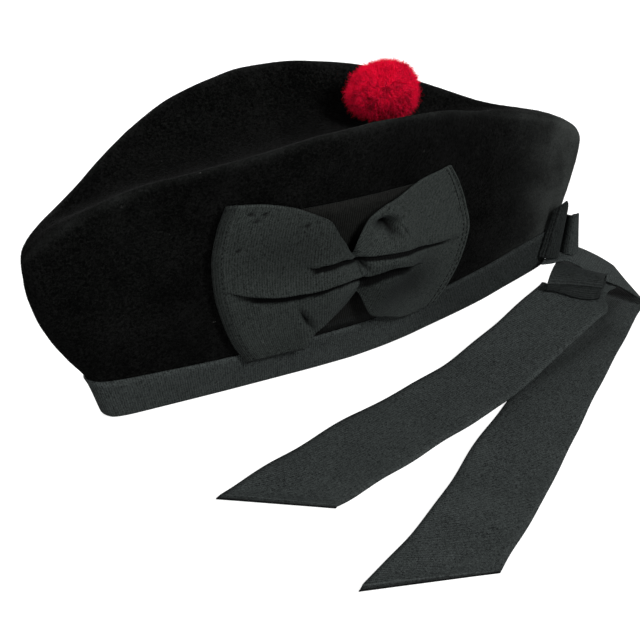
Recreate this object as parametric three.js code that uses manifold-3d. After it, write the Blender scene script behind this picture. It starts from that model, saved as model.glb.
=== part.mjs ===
// Glengarry: a folded felt cap with a grosgrain band, a bow on the wearer's left,
// a wool toorie in its dented top and two ribbon tails laid on the table.
// Millimetres. The front of the cap points to -Y, the wearer's left is +X, up is +Z, the table is Z = 0.
import * as THREE from "three";
import { mergeVertices } from "three/addons/utils/BufferGeometryUtils.js";
import Module from "manifold-3d";

const wasm = await Module();
wasm.setup();

// Driving dimensions
const PART_CENTRE_X = 72.2;
const PART_CENTRE_Y = 3.1;
const GAP = 0.3;
const FELT = 2.2;
const RIBBON = 1.0;
const RIM_FRONT = -129;
const RIM_BACK = 124.5;
const RIDGE_FRONT = -160.5;
const RIDGE_BACK = 143;
const RIDGE_ROUND = 9;
const WALL_FLARE = 1.3;
const END_REACH = 0.22;
const BAND_HEIGHT = 22;
const BAND_INSIDE = 14;
const BAND_SLACK = 0.5;
const BOW_CENTRE_Y = -8;
const BOW_CENTRE_Z = 66;
const BOW_OVER_BAND = 4;
const BOW_STAND_OFF = 0.15;
const BOW_HUMP = 6.6;
const BOW_HUMP_AT = 0.24;
const BOW_PUFF = 1.4;
const BOW_PINCH_RISE = 1.6;
const BOW_FLAT_FROM = 0.55;
const CREASE_START = 0.06;
const BOW_EDGE_DROP = 0.55;
const BOW_LEAN = 6;
const BOW_LEAN_RUN = 0.25;
const BACKING_FRONT = 55;
const BACKING_BACK = 51.6;
const BACKING_TOP_FRONT = 39.7;
const BACKING_TOP_BACK = 32.7;
const BACKING_TOP_RISE = 1.3;
const BACKING_OVER_BAND = 1.4;
const TOORIE_Y = 22;
const TOORIE_RADIUS = 16.2;
const TOORIE_HEIGHT = 13.4;
const LOCKS = 38;
const LOCK_RADIUS = 4.1;
const LOCK_LENGTH = 4.6;
const LOCK_SEAT = 0.94;
const LOCK_VARIETY = 0.16;
const LOCK_PHASE = 12.9;
const TOORIE_RISE = 3.4;

// Resolution
const STATIONS = 26;
const WALL_LEVELS = 6;
const ROUND_LEVELS = 4;
const VALLEY_LEVELS = 4;
const BAND_LEVELS = 2;
const FLAT_LEVELS = 3;
const BOW_ALONG = 32;
const BOW_ACROSS = 14;
const BACKING_ROWS = 8;
const BACKING_COLUMNS = 14;

// Sections of the cap from front (along 0) to back (along 1).
// rimHalf: half width of the felt's lower edge; lift: height of the lower edge above the table;
// ridgeHalf, ridgeTop: where the top fold runs; valley: how far the dented top sinks;
// belly: bulge of the wall.
const SECTIONS = [
  { along: 0.0, rimHalf: 0.0, lift: 0.0, ridgeHalf: 0.0, ridgeTop: 88, valley: 0.0, belly: 0.0 },
  { along: 0.004, rimHalf: 3.6, lift: 0.0, ridgeHalf: 3.4, ridgeTop: 94, valley: 0.0, belly: 0.5 },
  { along: 0.012, rimHalf: 5.7, lift: 0.0, ridgeHalf: 5.2, ridgeTop: 98, valley: 0.3, belly: 1.0 },
  { along: 0.04, rimHalf: 7.4, lift: 0.0, ridgeHalf: 8.0, ridgeTop: 106, valley: 1.5, belly: 2.0 },
  { along: 0.1, rimHalf: 8.6, lift: 0.0, ridgeHalf: 13.5, ridgeTop: 118, valley: 7.0, belly: 3.5 },
  { along: 0.17, rimHalf: 9.8, lift: 0.0, ridgeHalf: 23.6, ridgeTop: 128.5, valley: 12.5, belly: 4.5 },
  { along: 0.235, rimHalf: 10.8, lift: 0.0, ridgeHalf: 34.0, ridgeTop: 134.8, valley: 17.0, belly: 5.0 },
  { along: 0.3, rimHalf: 11.6, lift: 0.0, ridgeHalf: 41.2, ridgeTop: 139.6, valley: 20.5, belly: 5.0 },
  { along: 0.37, rimHalf: 12.4, lift: 0.0, ridgeHalf: 45.0, ridgeTop: 143.0, valley: 22.8, belly: 5.0 },
  { along: 0.43, rimHalf: 13.0, lift: 0.0, ridgeHalf: 46.2, ridgeTop: 145.0, valley: 24.0, belly: 5.0 },
  { along: 0.5, rimHalf: 13.2, lift: 0.0, ridgeHalf: 44.6, ridgeTop: 145.0, valley: 24.4, belly: 5.0 },
  { along: 0.56, rimHalf: 13.0, lift: 0.6, ridgeHalf: 41.0, ridgeTop: 143.0, valley: 24.0, belly: 5.0 },
  { along: 0.63, rimHalf: 12.4, lift: 2.0, ridgeHalf: 35.2, ridgeTop: 139.2, valley: 22.5, belly: 5.0 },
  { along: 0.69, rimHalf: 11.6, lift: 4.0, ridgeHalf: 27.0, ridgeTop: 133.2, valley: 18.5, belly: 4.5 },
  { along: 0.76, rimHalf: 10.8, lift: 6.5, ridgeHalf: 17.0, ridgeTop: 124.4, valley: 10.5, belly: 4.0 },
  { along: 0.82, rimHalf: 10.0, lift: 9.0, ridgeHalf: 9.0, ridgeTop: 115.6, valley: 3.0, belly: 3.5 },
  { along: 0.89, rimHalf: 8.8, lift: 13.0, ridgeHalf: 6.4, ridgeTop: 107.6, valley: 0.8, belly: 2.5 },
  { along: 0.95, rimHalf: 7.6, lift: 16.3, ridgeHalf: 6.2, ridgeTop: 100.0, valley: 0.3, belly: 1.2 },
  { along: 0.985, rimHalf: 5.9, lift: 18.0, ridgeHalf: 5.6, ridgeTop: 93.0, valley: 0.0, belly: 0.5 },
  { along: 1.0, rimHalf: 0.0, lift: 18.5, ridgeHalf: 0.0, ridgeTop: 80, valley: 0.0, belly: 0.0 },
];

// How far the front and back edges stand out from a straight line between the band and the top fold.
const END_EDGES = [
  { up: 0.0, front: 0.0, back: 0.0 },
  { up: 0.2, front: 1.0, back: 0.2 },
  { up: 0.38, front: -3.0, back: 0.9 },
  { up: 0.52, front: -5.6, back: 1.4 },
  { up: 0.66, front: -6.6, back: 1.8 },
  { up: 0.79, front: -5.6, back: 1.8 },
  { up: 0.92, front: -2.4, back: 0.9 },
  { up: 1.0, front: 0.0, back: 0.0 },
];

// Outline of the bow on the wall, seen square on, about its pinched middle.
// out: share of the way to the stitched end; top, bottom: edges of the ribbon there.
const BOW_FRONT = [
  { out: 0.0, top: 9.2, bottom: -15 },
  { out: 0.1, top: 16.6, bottom: -20.5 },
  { out: 0.21, top: 23, bottom: -26 },
  { out: 0.31, top: 34, bottom: -32 },
  { out: 0.38, top: 37, bottom: -37 },
  { out: 0.45, top: 39.6, bottom: -46 },
  { out: 0.57, top: 43.5, bottom: -46.6 },
  { out: 0.8, top: 47.5, bottom: -47.8 },
  { out: 1.0, top: 48.5, bottom: -48.6 },
];
const BOW_BACK = [
  { out: 0.0, top: 9.2, bottom: -15 },
  { out: 0.05, top: 22, bottom: -18.5 },
  { out: 0.1, top: 29.6, bottom: -24 },
  { out: 0.2, top: 34.6, bottom: -32.8 },
  { out: 0.41, top: 37, bottom: -39.7 },
  { out: 0.63, top: 38.4, bottom: -45.6 },
  { out: 1.0, top: 37.3, bottom: -47.3 },
];
// Stitched ends of the bow. across: -1 at the lower edge, 1 at the upper; reach: distance from the middle.
const BOW_END_FRONT = [
  { across: -1.0, reach: 52.5 },
  { across: -0.7, reach: 61 },
  { across: -0.35, reach: 67.5 },
  { across: 0.0, reach: 72 },
  { across: 0.4, reach: 74 },
  { across: 0.75, reach: 72.2 },
  { across: 1.0, reach: 69 },
];
const BOW_END_BACK = [
  { across: -1.0, reach: 52.5 },
  { across: -0.7, reach: 61.5 },
  { across: -0.35, reach: 68 },
  { across: 0.0, reach: 70.5 },
  { across: 0.4, reach: 65.5 },
  { across: 0.75, reach: 58.5 },
  { across: 1.0, reach: 51.5 },
];
// Creases that run out from the middle of the bow. side: -1 front wing, 1 back wing; pinchAt, endAt: height
// across the ribbon at the middle and at the end; run: share of the wing it crosses; deep, wide: its dent.
const CREASES = [
  { side: -1, pinchAt: 0.3, endAt: 0.1, run: 0.44, deep: 3.4, wide: 0.09 },
  { side: -1, pinchAt: -0.3, endAt: 0.0, run: 0.95, deep: 3.8, wide: 0.1 },
  { side: 1, pinchAt: 0.15, endAt: -0.1, run: 0.95, deep: 3.6, wide: 0.1 },
  { side: 1, pinchAt: -0.35, endAt: -0.3, run: 0.55, deep: 3.8, wide: 0.1 },
  { side: 1, pinchAt: 0.75, endAt: 0.62, run: 0.4, deep: 2.0, wide: 0.16 },
];

// Edges of the two tails on the table, from the knot to the slanted end.
// Each row is a line across the ribbon.
const TAIL_LEFT = [
  { inX: 13, inY: 127.5, inZ: 12.6, outX: 44, outY: 137, outZ: 12.6 },
  { inX: 15.6, inY: 119, inZ: 13.2, outX: 57.8, outY: 125.5, outZ: 13.4 },
  { inX: 25.4, inY: 90, inZ: 8.7, outX: 66.4, outY: 101, outZ: 9.8 },
  { inX: 31.6, inY: 72, inZ: 4.8, outX: 72.4, outY: 84, outZ: 5.8 },
  { inX: 37.8, inY: 54, inZ: 1.9, outX: 79.4, outY: 64.5, outZ: 3.2 },
  { inX: 45.6, inY: 32.4, inZ: 0.8, outX: 87.8, outY: 43.6, outZ: 2.0 },
  { inX: 53, inY: 7.4, inZ: 0.5, outX: 93.4, outY: 22.5, outZ: 1.2 },
  { inX: 58.8, inY: -18, inZ: 0.5, outX: 99, outY: 2.5, outZ: 0.6 },
  { inX: 65.4, inY: -42.5, inZ: 0.5, outX: 105, outY: -18.5, outZ: 0.5 },
  { inX: 72.2, inY: -64, inZ: 0.5, outX: 110.5, outY: -37, outZ: 0.5 },
  { inX: 78.6, inY: -84.5, inZ: 0.5, outX: 115, outY: -53, outZ: 0.5 },
  { inX: 86, inY: -108, inZ: 0.5, outX: 118.8, outY: -67.5, outZ: 0.5 },
];
const TAIL_RIGHT = [
  { inX: 3, inY: 128.8, inZ: 23, outX: 16, outY: 120, outZ: 23.5 },
  { inX: -1, inY: 138.5, inZ: 22.4, outX: 18.2, outY: 128.6, outZ: 22.9 },
  { inX: 2.2, inY: 148.4, inZ: 19, outX: 25, outY: 138, outZ: 20.4 },
  { inX: 7.2, inY: 157.5, inZ: 14, outX: 28.5, outY: 145.5, outZ: 14 },
  { inX: 12, inY: 162.6, inZ: 10.4, outX: 36, outY: 153.4, outZ: 9.4 },
  { inX: 14.2, inY: 165, inZ: 8, outX: 43.6, outY: 158.4, outZ: 6 },
  { inX: 15, inY: 166.2, inZ: 5, outX: 46.4, outY: 160.6, outZ: 3.6 },
  { inX: 15.6, inY: 165, inZ: 2.2, outX: 47.4, outY: 159.6, outZ: 1.4 },
  { inX: 17.6, inY: 161, inZ: 0.9, outX: 48.6, outY: 156, outZ: 0.6 },
  { inX: 24, inY: 146, inZ: 0.5, outX: 56, outY: 146, outZ: 0.5 },
  { inX: 38, inY: 121.5, inZ: 0.5, outX: 69.5, outY: 128.5, outZ: 0.5 },
  { inX: 54, inY: 94, inZ: 0.5, outX: 87, outY: 105.5, outZ: 0.5 },
  { inX: 72, inY: 67, inZ: 0.5, outX: 106, outY: 81, outZ: 0.5 },
  { inX: 90.6, inY: 38.5, inZ: 0.5, outX: 125, outY: 57.3, outZ: 0.5 },
  { inX: 111, inY: 8, inZ: 0.5, outX: 143, outY: 34.5, outZ: 0.5 },
  { inX: 131, inY: -18.2, inZ: 0.5, outX: 160, outY: 12.6, outZ: 0.5 },
  { inX: 148.6, inY: -45.3, inZ: 0.5, outX: 175, outY: -8.6, outZ: 0.5 },
  { inX: 160, inY: -65.5, inZ: 0.5, outX: 183.6, outY: -21, outZ: 0.5 },
  { inX: 169.3, inY: -81.5, inZ: 0.5, outX: 189.2, outY: -28.7, outZ: 0.5 },
];
const TAIL_ROWS = 2;
const TAIL_ACROSS = 3;

// The upright pleated loop behind the cap's back end: where each pleat stands, how high it is
// and how far its top leans back.
const PLEATS = [
  { x: 9.6, y: 116.4, foot: 25.5, top: 49, lean: 8 },
  { x: 12.6, y: 119.2, foot: 25.2, top: 52, lean: 7.5 },
  { x: 13.8, y: 124.0, foot: 24.4, top: 53.5, lean: 6 },
  { x: 13.2, y: 128.8, foot: 24.0, top: 51, lean: 4.5 },
  { x: 8.6, y: 132.0, foot: 23.8, top: 46.5, lean: 2.5 },
  { x: 12.6, y: 135.2, foot: 23.6, top: 47.5, lean: 1 },
  { x: 12.2, y: 139.6, foot: 23.2, top: 47, lean: 0 },
  { x: 9.2, y: 143.6, foot: 22.8, top: 45, lean: -1.5 },
  { x: 3.6, y: 144.8, foot: 22.8, top: 42.5, lean: -1.5 },
];
const PLEAT_LEAN = 1.5;
const PLEAT_THICK = 1.2;
const PLEAT_ROWS = 2;
const PLEAT_LEVELS = 6;

// The flattened wrap of the knot: a short oval tube lying beside the back end, wider to its left.
const WRAP_X = 28.5;
const WRAP_Y = 129;
const WRAP_Z = 18.2;
const WRAP_TURN = 0.71;
const WRAP_LONG = 27.5;
const WRAP_WIDE_LEFT = 12;
const WRAP_WIDE_RIGHT = 7;
const WRAP_HALF_TALL = 4.2;
const WRAP_WALL = 1.2;
const WRAP_ROUND = 24;
const WRAP_STEPS = 6;
const WRAP_WAIST = 0.1;
const WRAP_PLEAT = 0.25;

const mix = (a, b, t) => a + (b - a) * t;
const clamp01 = (t) => Math.min(1, Math.max(0, t));
const smooth = (t) => clamp01(t) * clamp01(t) * (3 - 2 * clamp01(t));
const bump = (t) => 4 * t * (1 - t);
const arcOf = (along) => Math.acos(1 - 2 * along);

// Smooth curve through the rows of a table that does not overshoot between them.
function curveThrough(rows, key, column, keyMap = (k) => k) {
  const xs = rows.map((row) => keyMap(row[key]));
  const ys = rows.map((row) => row[column]);
  const count = xs.length;
  const slope = [];
  for (let i = 0; i < count - 1; i += 1) {
    slope.push((ys[i + 1] - ys[i]) / (xs[i + 1] - xs[i]));
  }
  const tangent = [slope[0]];
  for (let i = 1; i < count - 1; i += 1) {
    const both = slope[i - 1] * slope[i];
    tangent.push(both <= 0 ? 0 : (2 * both) / (slope[i - 1] + slope[i]));
  }
  tangent.push(slope[count - 2]);
  return (at) => {
    let i = 0;
    while (i < count - 2 && at > xs[i + 1]) {
      i += 1;
    }
    const width = xs[i + 1] - xs[i];
    const t = clamp01((at - xs[i]) / width);
    const start = (1 + 2 * t) * (1 - t) * (1 - t) * ys[i] + t * (1 - t) * (1 - t) * width * tangent[i];
    return start + t * t * (3 - 2 * t) * ys[i + 1] + t * t * (t - 1) * width * tangent[i + 1];
  };
}

const section = {};
for (const column of ["rimHalf", "lift", "ridgeHalf", "ridgeTop", "valley", "belly"]) {
  const curve = curveThrough(SECTIONS, "along", column, arcOf);
  section[column] = (along) => curve(arcOf(along));
}
const rimZ = (along) => section.lift(along) + RIBBON + GAP;
const frontEdge = curveThrough(END_EDGES, "up", "front");
const backEdge = curveThrough(END_EDGES, "up", "back");
const endEdge = (along, up) =>
  frontEdge(up) * (1 - smooth(along / END_REACH)) + backEdge(up) * (1 - smooth((1 - along) / END_REACH));

// Point of the outer wall on the wearer's left. up: 0 at the felt's lower edge, 1 at the top fold.
function wallAt(along, up) {
  const flare = Math.max(up, 0) ** WALL_FLARE;
  return new THREE.Vector3(
    mix(section.rimHalf(along), section.ridgeHalf(along), flare) + section.belly(along) * bump(up),
    mix(mix(RIM_FRONT, RIM_BACK, along), mix(RIDGE_FRONT, RIDGE_BACK, along), up) + endEdge(along, up),
    mix(rimZ(along), section.ridgeTop(along), up),
  );
}

// Point of the dented top between the fold (inward 0) and the middle line (inward 1).
function topAt(along, inward) {
  const fold = wallAt(along, 1);
  const sink = section.valley(along) * (1 - (1 - inward) * (1 - inward));
  return new THREE.Vector3(fold.x * (1 - inward), fold.y, fold.z - sink);
}

// One cross line of the cap's outer skin, from the lower edge over the rounded fold to the middle.
function crossLine(along) {
  const fold = wallAt(along, 1);
  const tall = fold.z - rimZ(along);
  const cut = Math.min(RIDGE_ROUND, 0.85 * Math.max(fold.x, 0.001) + 0.4);
  const below = 1 - cut / tall;
  const within = clamp01(cut / Math.max(fold.x, cut + 0.001)) * 0.9;
  const line = [];
  const bandUp = (BAND_HEIGHT - RIBBON - GAP) / tall;
  for (let i = 0; i < BAND_LEVELS; i += 1) {
    line.push(wallAt(along, Math.max((BAND_HEIGHT * i) / BAND_LEVELS - RIBBON - GAP, 0) / tall));
  }
  for (let i = 0; i <= WALL_LEVELS; i += 1) {
    line.push(wallAt(along, mix(bandUp, below, i / WALL_LEVELS)));
  }
  const leave = wallAt(along, below);
  const land = topAt(along, within);
  for (let i = 1; i <= ROUND_LEVELS; i += 1) {
    const t = i / ROUND_LEVELS;
    const first = leave.clone().lerp(fold, t);
    const second = fold.clone().lerp(land, t);
    line.push(first.lerp(second, t));
  }
  for (let i = 1; i <= VALLEY_LEVELS; i += 1) {
    line.push(topAt(along, mix(within, 1, i / VALLEY_LEVELS)));
  }
  return line;
}

// Finds where on the wall a point with the given length position and height lies.
function wallSpot(y, z) {
  let front = 0.03;
  let back = 0.97;
  const upFor = (along) => (z - rimZ(along)) / (section.ridgeTop(along) - rimZ(along));
  for (let i = 0; i < 40; i += 1) {
    const along = (front + back) / 2;
    if (wallAt(along, upFor(along)).y < y) {
      front = along;
    } else {
      back = along;
    }
  }
  const along = (front + back) / 2;
  return { along, up: upFor(along) };
}

// Outward direction of the wall at a spot.
function wallNormal(along, up) {
  const step = 0.01;
  const lengthwise = wallAt(along + step, up).sub(wallAt(along - step, up));
  const upwards = wallAt(along, up + step).sub(wallAt(along, up - step));
  return lengthwise.cross(upwards).normalize();
}

function onWall(y, z, out) {
  const spot = wallSpot(y, z);
  return wallAt(spot.along, spot.up).addScaledVector(wallNormal(spot.along, spot.up), out);
}

// Turns points and triangles into one closed shape that faces outwards.
function closedShape(points, triangles) {
  const geometry = new THREE.BufferGeometry();
  const flat = points.flatMap((p) => [p.x - PART_CENTRE_X, p.y - PART_CENTRE_Y, p.z]);
  geometry.setAttribute("position", new THREE.Float32BufferAttribute(flat, 3));
  geometry.setIndex(triangles.flat());
  const merged = mergeVertices(geometry, 1e-4);
  const index = merged.getIndex().array;
  const place = merged.getAttribute("position");
  const corner = (i) => new THREE.Vector3().fromBufferAttribute(place, i);
  const kept = [];
  let volume = 0;
  for (let i = 0; i < index.length; i += 3) {
    const [a, b, c] = [index[i], index[i + 1], index[i + 2]];
    if (a !== b && b !== c && c !== a) {
      kept.push([a, b, c]);
      volume += corner(a).dot(corner(b).cross(corner(c))) / 6;
    }
  }
  merged.setIndex(kept.flatMap(([a, b, c]) => (volume > 0 ? [a, b, c] : [a, c, b])));
  merged.computeVertexNormals();
  return merged;
}

// Two triangles for each cell of a grid of points; wrap joins the last column to the first.
function gridTriangles(rows, columns, offset, wrap, flip) {
  const triangles = [];
  const last = wrap ? columns : columns - 1;
  for (let r = 0; r < rows - 1; r += 1) {
    for (let c = 0; c < last; c += 1) {
      const next = (c + 1) % columns;
      const a = offset + r * columns + c;
      const b = offset + r * columns + next;
      const d = offset + (r + 1) * columns + c;
      const e = offset + (r + 1) * columns + next;
      triangles.push(...(flip ? [[a, e, b], [a, d, e]] : [[a, b, e], [a, e, d]]));
    }
  }
  return triangles;
}

// Outward directions at the points of a grid.
function gridNormals(points, triangles) {
  const keyOf = (p) => [p.x, p.y, p.z].map((v) => Math.round(v * 1e4)).join(" ");
  const sums = new Map(points.map((p) => [keyOf(p), new THREE.Vector3()]));
  for (const [a, b, c] of triangles) {
    const edge = points[b].clone().sub(points[a]);
    const face = edge.cross(points[c].clone().sub(points[a]));
    const touched = new Set([keyOf(points[a]), keyOf(points[b]), keyOf(points[c])]);
    if (touched.size === 3) {
      touched.forEach((key) => sums.get(key).add(face));
    }
  }
  return points.map((p) => sums.get(keyOf(p)).clone().normalize());
}

// Cloth of even thickness about a grid of points.
function cloth(grid, thickness) {
  const rows = grid.length;
  const columns = grid[0].length;
  const middle = grid.flat();
  const sheet = gridTriangles(rows, columns, 0, false, false);
  const normals = gridNormals(middle, sheet);
  const face = middle.map((p, i) => p.clone().addScaledVector(normals[i], thickness / 2));
  const back = middle.map((p, i) => p.clone().addScaledVector(normals[i], -thickness / 2));
  const triangles = [...sheet, ...gridTriangles(rows, columns, middle.length, false, true)];
  const border = [];
  for (let c = 0; c < columns - 1; c += 1) {
    border.push(c);
  }
  for (let r = 0; r < rows - 1; r += 1) {
    border.push(r * columns + columns - 1);
  }
  for (let c = columns - 1; c > 0; c -= 1) {
    border.push((rows - 1) * columns + c);
  }
  for (let r = rows - 1; r > 0; r -= 1) {
    border.push(r * columns);
  }
  border.forEach((from, i) => {
    const to = border[(i + 1) % border.length];
    triangles.push([from, middle.length + to, to], [from, middle.length + from, middle.length + to]);
  });
  return closedShape([...face, ...back], triangles);
}

// Stations round the cap: down the wearer's left from front to back, then up the right.
const alongAt = (i) => (1 - Math.cos((Math.PI * i) / STATIONS)) / 2;
const ROUND = [];
for (let i = 0; i < 2 * STATIONS; i += 1) {
  const left = i <= STATIONS;
  ROUND.push({ along: alongAt(left ? i : 2 * STATIONS - i), side: left ? 1 : -1 });
}

// Felt shell: the outer skin and an inner skin one felt thickness inside it, joined along the lower edge.
function crown() {
  const lines = ROUND.map(({ along, side }) =>
    crossLine(along).map((p) => new THREE.Vector3(p.x * side, p.y, p.z)),
  );
  const levels = lines[0].length;
  const outer = [];
  for (let level = 0; level < levels; level += 1) {
    lines.forEach((line) => outer.push(line[level]));
  }
  const skin = gridTriangles(levels, ROUND.length, 0, true, false);
  const normals = gridNormals(outer, skin);
  const inner = outer.map((p, i) => {
    const normal = normals[i].clone();
    if (i < FLAT_LEVELS * ROUND.length) {
      normal.setZ(0).normalize();
    }
    return p.clone().addScaledVector(normal, -FELT);
  });
  const triangles = [...skin, ...gridTriangles(levels, ROUND.length, outer.length, true, true)];
  for (let c = 0; c < ROUND.length; c += 1) {
    const next = (c + 1) % ROUND.length;
    triangles.push([c, outer.length + next, next], [c, outer.length + c, outer.length + next]);
  }
  return closedShape([...outer, ...inner], triangles);
}

// Band: ribbon folded round the felt's lower edge, seen outside and inside.
function band() {
  const outside = [];
  const inside = [];
  for (let i = 0; i <= BAND_LEVELS; i += 1) {
    outside.push((BAND_HEIGHT * i) / BAND_LEVELS);
    inside.push((BAND_INSIDE * i) / BAND_LEVELS);
  }
  const over = [RIBBON, ...outside.slice(1)];
  const under = [RIBBON, ...inside.slice(1)];
  const profile = [
    ...outside.map((high) => ({ out: GAP + RIBBON, high })),
    ...over.toReversed().map((high) => ({ out: GAP, high })),
    ...under.map((high) => ({ out: -FELT - BAND_SLACK, high })),
    ...inside.toReversed().map((high) => ({ out: -FELT - BAND_SLACK - RIBBON, high })),
  ];
  const rings = ROUND.map(({ along, side }) => {
    const tall = section.ridgeTop(along) - rimZ(along);
    const ends = Math.sin(arcOf(along)) < 1e-6;
    const step = 0.001;
    return profile.map(({ out, high }) => {
      const up = (high - RIBBON - GAP) / tall;
      const p = wallAt(along, up);
      p.z = section.lift(along) + high;
      const lengthwise = wallAt(Math.min(1, along + step), up).sub(wallAt(Math.max(0, along - step), up));
      const normal = ends
        ? new THREE.Vector3(0, along < 0.5 ? -1 : 1, 0)
        : new THREE.Vector3(lengthwise.y, -lengthwise.x, 0).normalize();
      p.addScaledVector(normal, out);
      return new THREE.Vector3(p.x * side, p.y, p.z);
    });
  });
  rings.push(rings[0].map((p) => p.clone()));
  return closedShape(rings.flat(), gridTriangles(rings.length, profile.length, 0, true, false));
}

// Half outlines of the bow as smooth curves.
const bowEdge = [BOW_FRONT, BOW_BACK].map((rows) => ({
  top: curveThrough(rows, "out", "top"),
  bottom: curveThrough(rows, "out", "bottom"),
}));
const bowReach = [BOW_END_FRONT, BOW_END_BACK].map((rows) => curveThrough(rows, "across", "reach"));
const bandTop = (y) => section.lift(clamp01((y - RIM_FRONT) / (RIM_BACK - RIM_FRONT))) + BAND_HEIGHT;

// Place of a point of the bow: out -1 at the front end, 1 at the back end; across -1 low, 1 high.
function bowPlace(out, across) {
  const which = out < 0 ? 0 : 1;
  const share = Math.abs(out);
  const lean = BOW_LEAN * ((across + 1) / 2) ** 2 * (1 - smooth(share / BOW_LEAN_RUN));
  const y = BOW_CENTRE_Y + Math.sign(out) * share * bowReach[which](across) - lean;
  const low = Math.max(BOW_CENTRE_Z + bowEdge[which].bottom(share), bandTop(y) - BOW_OVER_BAND);
  const z = mix(low, BOW_CENTRE_Z + bowEdge[which].top(share), (across + 1) / 2);
  return { y, z };
}

// How far the bow's ribbon stands off its backing.
function bowRelief(out, across) {
  const share = Math.abs(out);
  const hump = BOW_HUMP * Math.exp(-((share / BOW_HUMP_AT - 1) ** 2));
  const flatEnd = 1 - smooth((share - BOW_FLAT_FROM) / (1 - BOW_FLAT_FROM));
  const belly = 1 - BOW_EDGE_DROP * across * across;
  let relief = flatEnd * ((BOW_PUFF + hump) * belly + BOW_PINCH_RISE * (1 - share));
  CREASES.filter((crease) => crease.side * out > 0 || share < 0.02).forEach((crease) => {
    const centre = mix(crease.pinchAt, crease.endAt, share);
    const fade = 1 - smooth((share / crease.run - BOW_FLAT_FROM) / (1 - BOW_FLAT_FROM));
    const dent = Math.exp(-(((across - centre) / crease.wide) ** 2));
    relief -= crease.deep * fade * smooth(share / CREASE_START) * dent;
  });
  return Math.max(relief, 0);
}

const BACKING_OUT = GAP + RIBBON / 2;
const BOW_OUT = 2 * GAP + 1.5 * RIBBON + BOW_STAND_OFF;

function cockadeBacking() {
  const grid = [];
  for (let r = 0; r <= BACKING_ROWS; r += 1) {
    const line = [];
    for (let c = 0; c <= BACKING_COLUMNS; c += 1) {
      const share = c / BACKING_COLUMNS;
      const y = BOW_CENTRE_Y + mix(-BACKING_FRONT, BACKING_BACK, share);
      const edge = mix(BACKING_TOP_FRONT, BACKING_TOP_BACK, share) + BACKING_TOP_RISE * bump(share);
      const z = mix(bandTop(y) + BACKING_OVER_BAND, BOW_CENTRE_Z + edge, r / BACKING_ROWS);
      line.push(onWall(y, z, BACKING_OUT));
    }
    grid.push(line);
  }
  return cloth(grid, RIBBON);
}

function cockadeBow() {
  const grid = [];
  for (let r = 0; r <= BOW_ACROSS; r += 1) {
    const line = [];
    for (let c = 0; c <= BOW_ALONG; c += 1) {
      const out = mix(-1, 1, c / BOW_ALONG);
      const across = mix(-1, 1, r / BOW_ACROSS);
      const { y, z } = bowPlace(out, across);
      line.push(onWall(y, z, BOW_OUT + bowRelief(out, across)));
    }
    grid.push(line);
  }
  return cloth(grid, RIBBON);
}

// A tail: ribbon between the two edges of its table.
function tail(rows) {
  const edge = (x, y, z) => {
    const points = rows.map((row) => new THREE.Vector3(row[x], row[y], row[z]));
    return new THREE.CatmullRomCurve3(points, false, "centripetal");
  };
  const inner = edge("inX", "inY", "inZ");
  const outer = edge("outX", "outY", "outZ");
  const steps = TAIL_ROWS * (rows.length - 1);
  const grid = [];
  for (let r = 0; r <= steps; r += 1) {
    const from = inner.getPoint(r / steps);
    const to = outer.getPoint(r / steps);
    const line = [];
    for (let c = 0; c <= TAIL_ACROSS; c += 1) {
      const p = from.clone().lerp(to, c / TAIL_ACROSS);
      p.z = Math.max(p.z, RIBBON / 2);
      line.push(p);
    }
    grid.push(line);
  }
  const geometry = cloth(grid, RIBBON);
  const place = geometry.getAttribute("position");
  for (let i = 0; i < place.count; i += 1) {
    place.setZ(i, Math.max(place.getZ(i), 0));
  }
  return geometry;
}

// Upright loop of the knot: ribbon standing in pleats.
function backLoop() {
  const stands = PLEATS.map(({ x, y }) => new THREE.Vector3(x, y, 0));
  const path = new THREE.CatmullRomCurve3(stands, false, "centripetal");
  const steps = PLEAT_ROWS * (PLEATS.length - 1);
  const rows = PLEATS.map((row, i) => ({ ...row, i }));
  const foot = curveThrough(rows, "i", "foot");
  const top = curveThrough(rows, "i", "top");
  const lean = curveThrough(rows, "i", "lean");
  const grid = [];
  for (let level = 0; level <= PLEAT_LEVELS; level += 1) {
    const line = [];
    for (let c = 0; c <= steps; c += 1) {
      const p = path.getPoint(c / steps);
      const at = c / PLEAT_ROWS;
      const up = level / PLEAT_LEVELS;
      p.z = mix(foot(at), top(at), up);
      p.x += PLEAT_LEAN * up;
      p.y += lean(at) * up;
      line.push(p);
    }
    grid.push(line);
  }
  return cloth(grid, PLEAT_THICK);
}

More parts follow.
